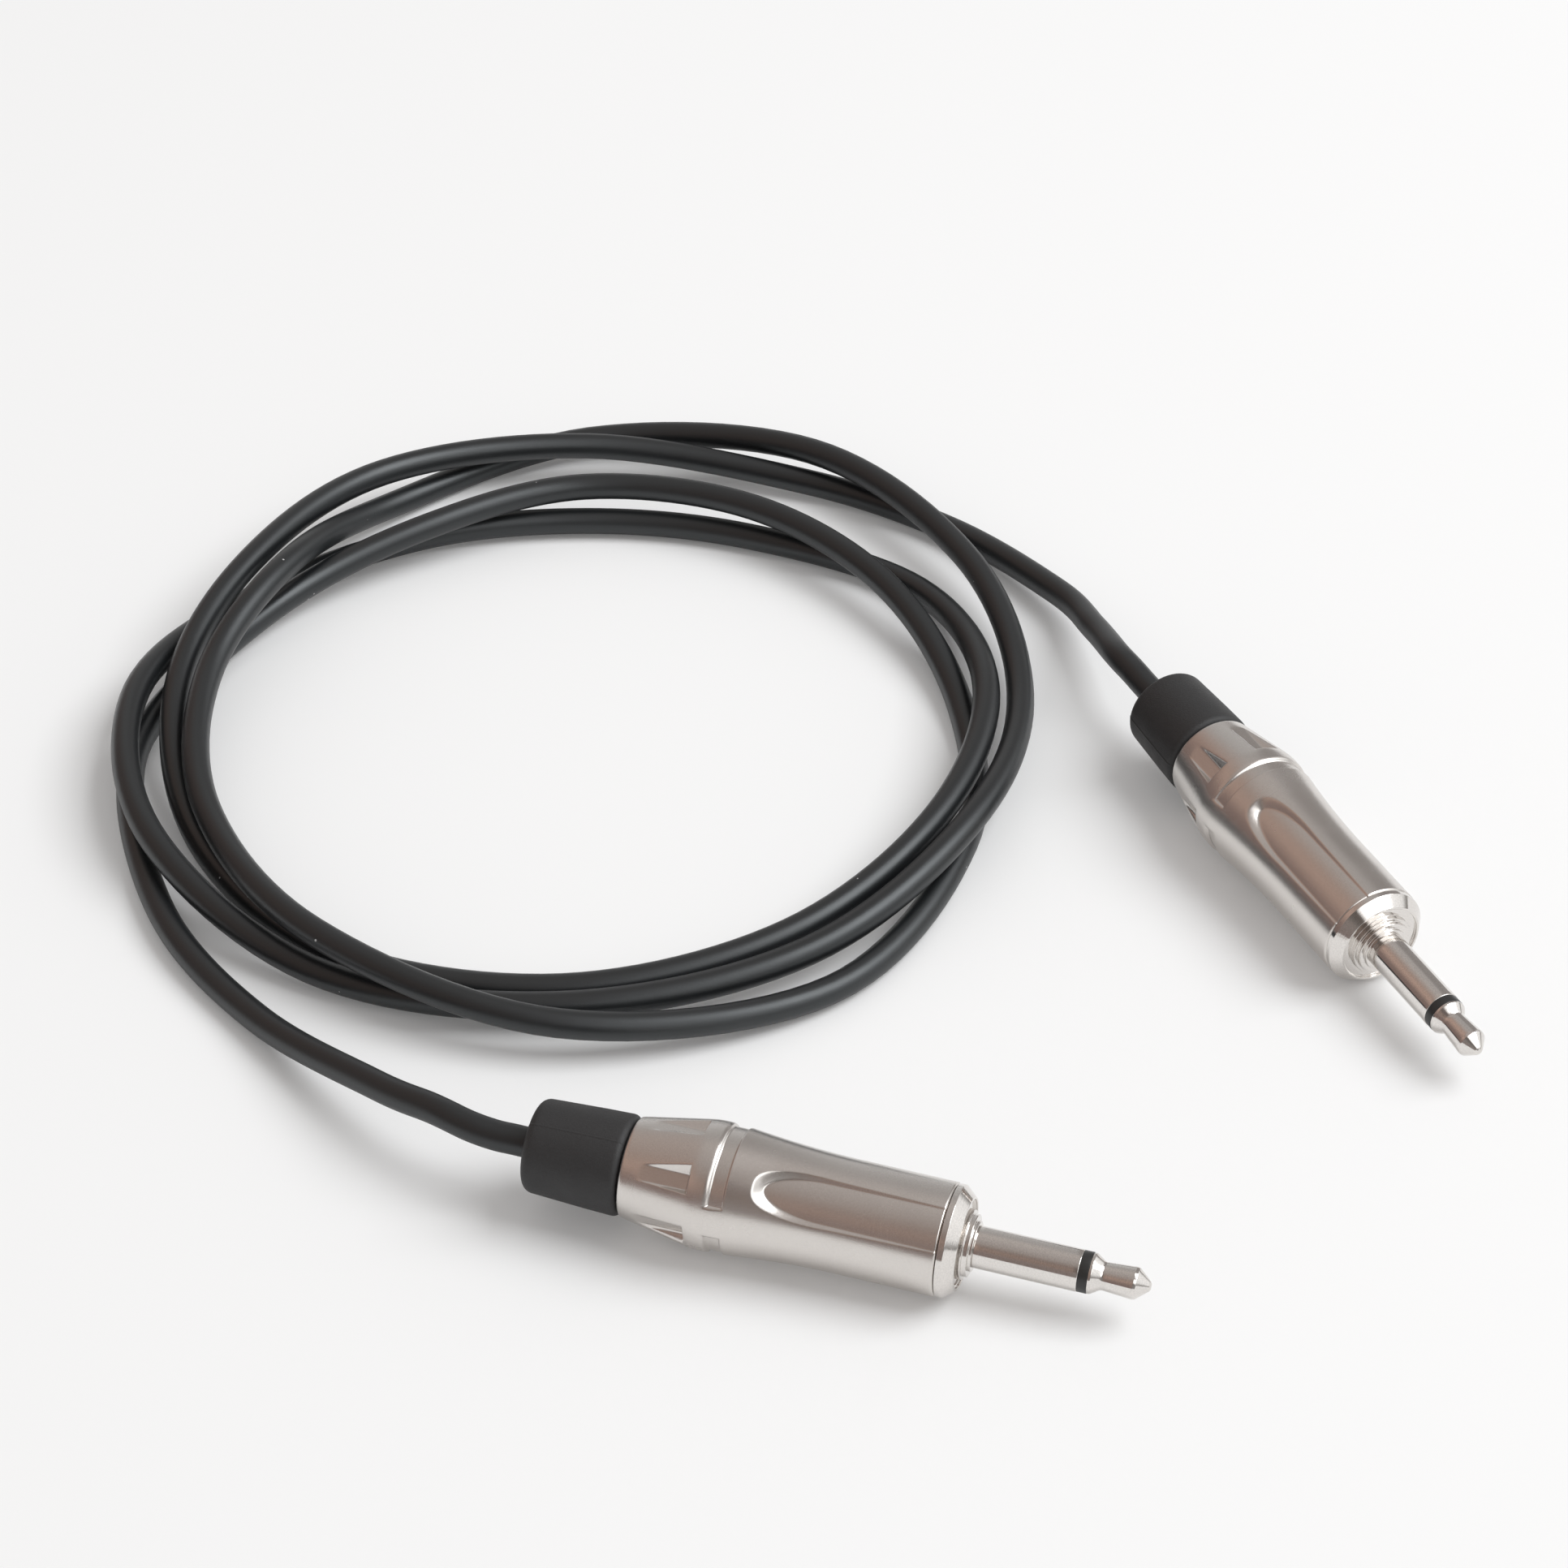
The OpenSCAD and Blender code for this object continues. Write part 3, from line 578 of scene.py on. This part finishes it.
def insulator(plug, material):
    """A tube through the sleeve that ends in the ring between sleeve and tip."""
    x, r = rounded([
        (-6.0, 0.7), (-6.0, 1.2), (RING_X, 1.2), (RING_X, 1.72, 0.03),
        (TIP_X, 1.72, 0.03), (TIP_X, 0.7), (-6.0, 0.7),
    ])
    return turned_piece("insulator_" + plug + "_moulded", x[:-1], r[:-1], ROUND, plug,
                        material, "lead", "insulator_" + plug)


def ring_plastic():
    """Plain black plastic with a very fine skin."""
    material, tree, shader = new_material("ring_plastic", (0.025, 0.025, 0.025), 0.0, 0.35)
    bump(tree, shader, noise(tree, object_place(tree), 4000.0), 0.00001, 0.5)
    return material


black_ring = ring_plastic()
for plug in PLUGS:
    print(plug, [len(piece.data.polygons) for piece in
                 (sleeve(plug), tip(plug), insulator(plug, black_ring))])

# %% [markdown]
# ## Shell
# The shell is the hardest surface here. Its outline is turned, and three kinds of cut go
# into it: long thumb recesses with an oval rear end, small pockets in the rear taper,
# and shallow arc grooves at the shoulder. Cutting meshes with booleans leaves razor
# edges and long thin faces. Instead the radius of every grid point is computed: along
# its ray from the axis, each cut has a radius too, and the smaller one wins. A rounded
# minimum joins them, so every edge gets its small radius for free.

# %% Rounded minimum and maximum
def soft_max(a, b, edge):
    """The larger of a and b, rounded over a width of about edge where they cross."""
    return (a + b + np.sqrt((a - b) ** 2 + edge ** 2)) / 2


def soft_min(a, b, edge):
    """The smaller of a and b, rounded in the same way."""
    return (a + b - np.sqrt((a - b) ** 2 + edge ** 2)) / 2


def wrapped(angle):
    """An angle brought between minus and plus half a turn."""
    return (angle + np.pi) % (2 * np.pi) - np.pi


print("soft minimum of 1 and 1:", round(float(soft_min(1.0, 1.0, 0.1)), 3))

# %% Shell outline and cuts
CREST_END, REAR_R, FLARE_X = 20.5, 4.2, 8.0
THUMB_COUNT, THUMB_R, THUMB_DIP = 3, 4.65, 0.02
THUMB_HALF, THUMB_END, THUMB_NOSE = 1.82, 14.9, 5.2
POCKET_COUNT, POCKET_TURN = 6, math.radians(11)
POCKET_R, POCKET_HALF, POCKET_X = 4.5, 0.67, 21.1
POCKET_RAMP, POCKET_WALL = 0.63, 3.5
GROOVE_COUNT, GROOVE_TURN, GROOVE_HALF = 2, math.radians(-47), math.radians(73)
GROOVE_FRONT, GROOVE_REAR, GROOVE_DEPTH = 17.85, 19.0, 0.3
GROOVE_WALL, GROOVE_END_WALL, GROOVE_EASE, GROOVE_EASE_AT = 1.6, 1.4, 0.33, 0.17
NOT_CUT = 99.0


def outline(x):
    """Outer radius along the shell: straight to FLARE_X, a parabola up to the shoulder,
    a level crest, then a straight taper to the rear rim."""
    s = -x
    along = np.clip((s - FLARE_X) / (SHOULDER_X - FLARE_X), 0, 1)
    flare = SHELL_R + (SHOULDER_R - SHELL_R) * along ** 2
    taper = SHOULDER_R + (REAR_R - SHOULDER_R) * (s - CREST_END) / (SHELL_LEN - CREST_END)
    return soft_min(flare, taper, 0.08)


def thumb_cut(x, offset):
    """Radius of a thumb recess centred at angle offset = 0. Its floor is round about the
    plug's axis and dips a little towards the rear. The floor's outline has straight sides
    and half an ellipse as its rear end: q = hypot(along / nose, across / half) is 1 there.
    Outside it the wall rises at 45 degrees, so by the distance to the outline, which
    close to it is (q - 1) / |gradient of q|. The gradient is kept off 0, its value on
    the recess's centre line."""
    along = np.maximum(THUMB_NOSE - THUMB_END - x, 0) / THUMB_NOSE
    across = np.abs(offset) * SHELL_R / THUMB_HALF
    q = np.maximum(np.hypot(along, across), 1e-6)
    slope = np.maximum(np.hypot(along / THUMB_NOSE, across / THUMB_HALF) / q, 0.1)
    return THUMB_R + THUMB_DIP * x + soft_max((q - 1) / slope, 0.0, 0.05)


def pocket_cut(x, base, offset):
    """Radius of a pocket centred at angle offset = 0. Its floor is flat, so the height
    over the floor's plane is turned into a radius along each ray; this is repeated,
    because the distance to the pocket's sides depends on the radius. One side leans
    like a ramp, the other and the front stand steep. Far from the pocket the radius is
    NOT_CUT, too large to cut anything."""
    r = base
    for _ in range(3):
        side = r * np.sin(offset)
        ramp_side = POCKET_RAMP * (-side - POCKET_HALF)
        steep_side = POCKET_WALL * np.maximum(side - POCKET_HALF, x + POCKET_X)
        rise = soft_max(soft_max(ramp_side, steep_side, 0.03), 0.0, 0.03)
        r = (POCKET_R + rise) / np.maximum(np.cos(offset), 0.3)
    return np.where((np.abs(offset) < 1.1) & (x < 0.5 - POCKET_X), r, NOT_CUT)


def groove_cut(x, offset):
    """Radius of a shoulder groove centred at angle offset = 0: its floor, a front wall,
    a rear wall that stands steep and then eases off, and a wall at each end."""
    behind = np.maximum(-GROOVE_REAR - x, 0)
    rear = soft_min(GROOVE_WALL * behind, GROOVE_EASE_AT + GROOVE_EASE * behind, 0.03)
    front = np.maximum(x + GROOVE_FRONT, 0) * GROOVE_WALL
    ends = np.maximum(np.abs(offset) - GROOVE_HALF, 0) * SHOULDER_R * GROOVE_END_WALL
    return SHOULDER_R - GROOVE_DEPTH + soft_max(np.maximum(rear + front, ends), 0.0, 0.03)


def shell_radius(x, theta):
    """Outer radius at stations x (rows) and angles theta (columns)."""
    x, theta = x[:, None], theta[None, :]
    radius = np.broadcast_to(outline(x), (x.size, theta.size))
    base = radius
    for k in range(THUMB_COUNT):
        cut = thumb_cut(x, wrapped(theta - 2 * np.pi * k / THUMB_COUNT))
        radius = soft_min(radius, cut, 0.05)
    for k in range(POCKET_COUNT):
        cut = pocket_cut(x, base, wrapped(theta - POCKET_TURN - 2 * np.pi * k / POCKET_COUNT))
        radius = soft_min(radius, cut, 0.04)
    for k in range(GROOVE_COUNT):
        cut = groove_cut(x, wrapped(theta - GROOVE_TURN - 2 * np.pi * k / GROOVE_COUNT))
        radius = soft_min(radius, cut, 0.03)
    return radius


thumb_floor = shell_radius(np.array([-5.0]), np.zeros(1))[0, 0]
print("radius on a thumb recess's floor:", round(float(thumb_floor), 3))

# %% Make the shells
# The rows run in bands. Each starts at a station, in millimetres, and has so many rows.
SHELL_COLUMNS = 370
BAND_STARTS = [0, -0.14, -0.5, -9.5, -12.2, -16.0, -17.4, -18.1, -19.1, -20.1, -20.8, -21.6,
               -25.0, -26.2, -26.66]
BAND_ROWS = [4, 4, 22, 20, 44, 8, 16, 10, 16, 8, 20, 26, 10, 6]
WIDE_BORE, TAIL_BORE, BORE_STEP = 3.8, 2.9, -21.0


def shell_columns(count):
    """Angles round the shell, three times as close where a recess's side edges run, so
    that those long edges stay crisp."""
    fine = np.linspace(0, 2 * np.pi, 7201)
    across = np.abs(wrapped(THUMB_COUNT * fine)) / THUMB_COUNT * SHELL_R
    weight = np.where(np.abs(across - THUMB_HALF - 0.12) < 0.3, 3.0, 1.0)
    total = np.concatenate([[0], np.cumsum((weight[1:] + weight[:-1]) / 2)])
    return np.interp(np.arange(count) / count * total[-1], total, fine)


def shell(plug):
    """Outer rows from the front rim back, with close rows where an edge crosses, then
    the rear rim, the tail bore, the step and the wide bore forward to the rim again."""
    stations = np.concatenate([
        np.linspace(start, end, rows, endpoint=False)
        for start, end, rows in zip(BAND_STARTS[:-1], BAND_STARTS[1:], BAND_ROWS)
    ])
    theta = shell_columns(SHELL_COLUMNS)
    outer = shell_radius(stations, theta)
    outer -= np.clip(stations - BAND_STARTS[1], 0, None)[:, None]
    bend = np.linspace(np.radians(10), np.pi / 2, 6)
    edge_x = -SHELL_LEN + 0.35 - 0.35 * np.sin(bend)
    edge_r = 3.85 + 0.4 * np.cos(bend)
    inner_x, inner_r = rounded([
        (-SHELL_LEN, WIDE_BORE), (-SHELL_LEN, TAIL_BORE, 0.15), (BORE_STEP, TAIL_BORE, 0.1),
        (BORE_STEP, WIDE_BORE, 0.05), (0.0, WIDE_BORE, 0.08), (0.0, 4.5),
    ], longest=1.5)
    x = np.concatenate([stations, edge_x, inner_x[1:]])
    turned = np.concatenate([edge_r, inner_r[1:]])[:, None]
    r = np.concatenate([outer, np.broadcast_to(turned, (len(turned), len(theta)))])
    return turned_piece("shell_" + plug + "_turned", x, r, theta, plug, satin[plug],
                        "shell_" + plug, "shell_" + plug,
                        roll=PLUGS[plug]["roll"])


for plug in PLUGS:
    print(plug, len(shell(plug).data.polygons), "faces")

# %% [markdown]
# ## Boot
# The boot is moulded rubber: a short cone with soft edges, a fine grain from the mould
# and a seam where its two halves closed. The seam is a tiny ridge at one angle and its
# opposite; the grid gets extra columns there so the ridge stays crisp.

# %% Rubber finish
# The pit colour is painted shade in the grain's hollows, the top colour painted light on its
# crests.
RUBBER, RUBBER_PIT_SHADE, RUBBER_TOP_LIGHT = (0.022, 0.022, 0.023), (0.014, 0.014, 0.015), (0.032, 0.032, 0.033)


def rubber_finish():
    """One fine grain gives the bumps. With it the pits between them are painted darker as shade
    and their tops lighter as light, and a slow patch changes how matte the rubber is."""
    material, tree, shader = new_material("boot_rubber", RUBBER, 0.0, 0.55)
    place = object_place(tree)
    grain_and_shade = noise(tree, place, 6500.0, 4.0, 0.7)
    patch = noise(tree, place, 300.0, 2.0)
    tree.links.new(ramp(tree, patch, 0.3, 0.7, 0.5, 0.62), shader.inputs["Roughness"])
    # Painted shade in the grain's pits, painted light on its tops.
    color = blend_colors(tree, grain_and_shade, RUBBER_PIT_SHADE, RUBBER_TOP_LIGHT)
    tree.links.new(color, shader.inputs["Base Color"])
    bump(tree, shader, grain_and_shade, 0.00007, 0.6)
    return material


rubber = rubber_finish()
print("finish:", rubber.name)

# %% Make the boots
SEAMS = {"a": np.radians([22, 202]), "b": np.radians([85, 265])}
SEAM_HEIGHT, SEAM_WIDTH, HALVES_STEP = 0.045, 0.07, 0.012
CORD_HOLE, BOOT_R, NECK_R = CORD_R + 0.05, 4.2, 2.85


def boot(plug):
    """Turned rows with rounded rims. At each seam angle the radius gains a ridge, height
    * exp(-(arc distance / width)^2), and one half of the boot stands a hair prouder."""
    seams = SEAMS[plug]
    near = np.concatenate([seam + np.linspace(-0.09, 0.09, 25) for seam in seams])
    far = np.linspace(0, 2 * np.pi, 180, endpoint=False)
    gap = np.min([np.abs(wrapped(far - seam)) for seam in seams], axis=0)
    theta = np.sort(np.concatenate([far[gap > 0.1], near]) % (2 * np.pi))
    front = -SHELL_LEN - BOOT_GAP
    x, r = rounded([
        (-BOOT_END, CORD_HOLE, 0.1), (-BOOT_END, 3.93, 0.85), (-30.0, BOOT_R),
        (front, 4.3, 0.6), (front, NECK_R, 0.05), (-20.94, NECK_R), (-20.94, 3.2, 0.1),
        (-20.24, NECK_R, 0.1), (-20.24, CORD_HOLE, 0.1), (-BOOT_END, CORD_HOLE),
    ], steps=9, longest=0.4)
    x, r = x[:-1], r[:-1]
    skin = ((r > 3.0) & (x < -SHELL_LEN))[:, None]
    arc = np.min([np.abs(wrapped(theta - seam)) for seam in seams], axis=0) * BOOT_R
    side = wrapped(theta - seams[0]) > 0
    ridge = SEAM_HEIGHT * np.exp(-(arc / SEAM_WIDTH) ** 2) + HALVES_STEP * side
    radius = r[:, None] + np.where(skin, ridge[None, :], 0.0)
    return turned_piece("boot_" + plug + "_moulded", x, radius, theta, plug, rubber,
                        "boot_" + plug, "boot_" + plug)


for plug in PLUGS:
    print(plug, len(boot(plug).data.polygons), "faces")

# %% [markdown]
# ## Pieces inside the plug
# The lugs, the liner, the washer and the wire ends only show on a real plug when its
# shell is taken right off. Their CAD shapes are right as they are, so each just gets a
# proper finish.

# %% Finishes for the inner pieces
def inner_finish(name, color, metallic, roughness, scale, depth):
    """A colour, with painted shade a fifth darker in the valleys of a grain of that scale and
    depth.
    """
    material, tree, shader = new_material(name, color, metallic, roughness)
    grain_and_shade = noise(tree, object_place(tree), scale, 3.0)
    # Painted shade: the grain's valleys take a colour a fifth darker.
    valley_shade = tuple(0.8 * c for c in color)
    tree.links.new(blend_colors(tree, grain_and_shade, valley_shade, color), shader.inputs["Base Color"])
    bump(tree, shader, grain_and_shade, depth, 0.5)
    return material


INNER = {
    "ground_lug": inner_finish("lug_brass", (0.72, 0.55, 0.28), 1.0, 0.3, 2500.0, 0.00001),
    "liner": inner_finish("liner_plastic", (0.83, 0.81, 0.76), 0.0, 0.4, 800.0, 0.00001),
    "core": inner_finish("core_plastic", (0.85, 0.85, 0.83), 0.0, 0.35, 1500.0, 0.00001),
    "screen": inner_finish("screen_wire", (0.7, 0.42, 0.26), 1.0, 0.35, 6000.0, 0.00004),
}
INNER["tip_lug"], INNER["washer"] = INNER["ground_lug"], INNER["liner"]
for kind, material in INNER.items():
    for plug in PLUGS:
        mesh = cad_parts[kind + "_" + plug].data
        mesh.materials.clear()
        mesh.materials.append(material)
print("inner pieces finished:", 2 * len(INNER))

# %% [markdown]
# ## Table and light
# The table is white card that runs on without an edge. It has to catch the soft shadows,
# so it is a real diffuse surface; a little light is added to it only where the camera or
# a mirror-like surface looks at it, which makes it white without lighting the object
# any more. One large soft lamp stands high on the right, where the window is, and the
# world fills the shadows evenly. Metal and plastic show what stands around them, so shiny
# surfaces see a whole room there: a dark strip low in front, a dull ceiling, a warm wall
# on the left, a dim corner and a bright window on the right, and a second one in front.

# %% Table
CARD_WHITE, CARD_LIFT, TABLE_HALF = (0.88, 0.88, 0.88), 0.09, 6.0


def table_finish():
    """Diffuse card plus a little light of its own, which only the camera and mirror-like
    surfaces see."""
    material = bpy.data.materials.new("table_card")
    material.use_nodes = True
    tree = material.node_tree
    tree.nodes.clear()
    path = add(tree, "ShaderNodeLightPath")
    seen = add(tree, "ShaderNodeMath", {0: path.outputs["Is Camera Ray"],
                                        1: path.outputs["Is Glossy Ray"]}, operation="MAXIMUM")
    card = add(tree, "ShaderNodeBsdfDiffuse", {"Color": (*CARD_WHITE, 1.0)})
    glow = add(tree, "ShaderNodeEmission", {"Color": (1.0, 1.0, 1.0, 1.0)})
    lift = add(tree, "ShaderNodeMath", {0: seen.outputs[0], 1: CARD_LIFT}, operation="MULTIPLY")
    tree.links.new(lift.outputs[0], glow.inputs["Strength"])
    both = add(tree, "ShaderNodeAddShader", {0: card.outputs[0], 1: glow.outputs[0]})
    out = add(tree, "ShaderNodeOutputMaterial")
    tree.links.new(both.outputs[0], out.inputs["Surface"])
    return material


corners = [(x * TABLE_HALF, y * TABLE_HALF, 0) for x, y in ((-1, -1), (1, -1), (1, 1), (-1, 1))]
table_mesh = bpy.data.meshes.new("table")
table_mesh.from_pydata(corners, [], [(0, 1, 2, 3)])
table_mesh.materials.append(table_finish())
table = bpy.data.objects.new("table", table_mesh)
bpy.context.scene.collection.objects.link(table)
print("table", 2 * TABLE_HALF, "m wide")

# %% Lamps
def soft_lamp(name, direction, distance, width, height, level, color):
    """An area lamp in a direction from the aim point, facing it. Its level is how bright
    the lamp itself looks, with white as 1; the power for that is pi * area * level."""
    data = bpy.data.lights.new(name, "AREA")
    data.shape = "RECTANGLE"
    data.size, data.size_y = width, height
    data.color = color
    data.energy = math.pi * width * height * level
    lamp = bpy.data.objects.new(name, data)
    away = np.array(direction, float)
    away /= np.linalg.norm(away)
    side = np.cross([0, 0, 1.0], away)
    side /= np.linalg.norm(side)
    pose = np.eye(4)
    pose[:3, 0], pose[:3, 1], pose[:3, 2] = side, np.cross(away, side), away
    pose[:3, 3] = AIM + away * distance
    lamp.matrix_world = Matrix(pose.tolist())
    bpy.context.scene.collection.objects.link(lamp)
    return lamp


window = soft_lamp("window", (0.62, -0.02, 0.80), distance=1.6, width=1.1, height=1.1,
                   level=4.7, color=(0.965, 0.985, 1.0))
print("lamp:", window.name, round(window.data.energy, 2), "W")

# %% World
ROOM = [
    (0.00, (0.30, 0.29, 0.28)), (0.12, (0.26, 0.24, 0.23)), (0.19, (0.14, 0.12, 0.11)),
    (0.27, (0.18, 0.15, 0.14)), (0.36, (0.36, 0.32, 0.30)), (0.50, (0.46, 0.42, 0.40)),
    (0.64, (0.52, 0.48, 0.455)), (0.77, (0.44, 0.42, 0.41)),
    (0.86, (0.52, 0.51, 0.50)), (1.00, (0.70, 0.70, 0.70)),
]
LEFT_WALL = [
    (0.00, (0.22, 0.16, 0.145)), (0.30, (0.26, 0.19, 0.17)), (0.62, (0.50, 0.36, 0.30)),
    (0.82, (0.40, 0.31, 0.27)), (1.00, (0.46, 0.42, 0.40)),
]
CORNER = [(0.0, (0.35, 0.33, 0.32)), (0.5, (0.31, 0.29, 0.28)), (1.0, (0.40, 0.37, 0.36))]
WINDOW_WALL = [(0.0, (0.24, 0.23, 0.22)), (0.06, (0.34, 0.33, 0.32)),
               (0.20, (1.0, 1.0, 1.0)), (0.85, (1.3, 1.3, 1.3)), (1.0, (0.60, 0.58, 0.56))]
FRONT_WINDOW = {"toward": (0.42, -0.62, 0.66), "inner": 16, "outer": 25, "level": 1.9}
FILL_COLOR, FILL_LEVEL, BACKDROP = (1.0, 0.97, 0.95), 0.50, (0.95, 0.95, 0.95)


def color_stops(tree, fac, stops):
    """A colour ramp through stops, each a place between 0 and 1 and a colour."""
    node = add(tree, "ShaderNodeValToRGB", {"Fac": fac})
    elements = node.color_ramp.elements
    elements[0].position, elements[0].color = stops[0][0], (*stops[0][1], 1.0)
    elements[1].position, elements[1].color = stops[-1][0], (*stops[-1][1], 1.0)
    for place, color in stops[1:-1]:
        elements.new(place).color = (*color, 1.0)
    return node.outputs["Color"]


def world_light():
    """Three things look at the world: the camera sees white, diffuse surfaces get an
    even fill, and shiny ones see a room. ROOM gives its colour by the angle from the
    front horizon (0) over the zenith (0.5) to the back one (1). Over it lie the left
    wall, the corner and the window wall, each faded in by x and coloured by height, and
    last the front window: a disc round its direction, soft from inner to outer degrees."""
    world = bpy.data.worlds.new("room")
    bpy.context.scene.world = world
    world.use_nodes = True
    tree = world.node_tree
    tree.nodes.clear()
    way_out = add(tree, "ShaderNodeTexCoord").outputs["Generated"]
    way = add(tree, "ShaderNodeSeparateXYZ", {"Vector": way_out})
    front = add(tree, "ShaderNodeMath", {0: way.outputs["Y"], 1: -1.0}, operation="MULTIPLY")
    over = add(tree, "ShaderNodeMath", {0: way.outputs["Z"], 1: front.outputs[0]},
               operation="ARCTAN2")
    seen = color_stops(tree, ramp(tree, over.outputs[0], 0.0, math.pi, 0.0, 1.0), ROOM)
    for low, high, wall in ((-0.15, -0.55, LEFT_WALL), (0.12, 0.22, CORNER),
                            (0.52, 0.75, WINDOW_WALL)):
        side = ramp(tree, way.outputs["X"], low, high, 0.0, 1.0)
        seen = blend_colors(tree, side, seen, color_stops(tree, way.outputs["Z"], wall))
    near = add(tree, "ShaderNodeVectorMath", {0: way_out, 1: FRONT_WINDOW["toward"]},
               operation="DOT_PRODUCT")
    inside = ramp(tree, near.outputs["Value"], math.cos(math.radians(FRONT_WINDOW["outer"])),
                  math.cos(math.radians(FRONT_WINDOW["inner"])), 0.0, 1.0)
    seen = blend_colors(tree, inside, seen, [FRONT_WINDOW["level"]] * 3)
    shiny = add(tree, "ShaderNodeBackground", {"Color": seen, "Strength": 1.0})
    fill = add(tree, "ShaderNodeBackground",
               {"Color": (*FILL_COLOR, 1.0), "Strength": FILL_LEVEL})
    white = add(tree, "ShaderNodeBackground", {"Color": (*BACKDROP, 1.0), "Strength": 1.0})
    path = add(tree, "ShaderNodeLightPath")
    first = add(tree, "ShaderNodeMixShader", {0: path.outputs["Is Glossy Ray"],
                                              1: fill.outputs[0], 2: shiny.outputs[0]})
    last = add(tree, "ShaderNodeMixShader", {0: path.outputs["Is Camera Ray"],
                                             1: first.outputs[0], 2: white.outputs[0]})
    out = add(tree, "ShaderNodeOutputWorld")
    tree.links.new(last.outputs[0], out.inputs["Surface"])
    return world


print("world:", world_light().name)

# %% Update the scene
bpy.context.view_layer.update()
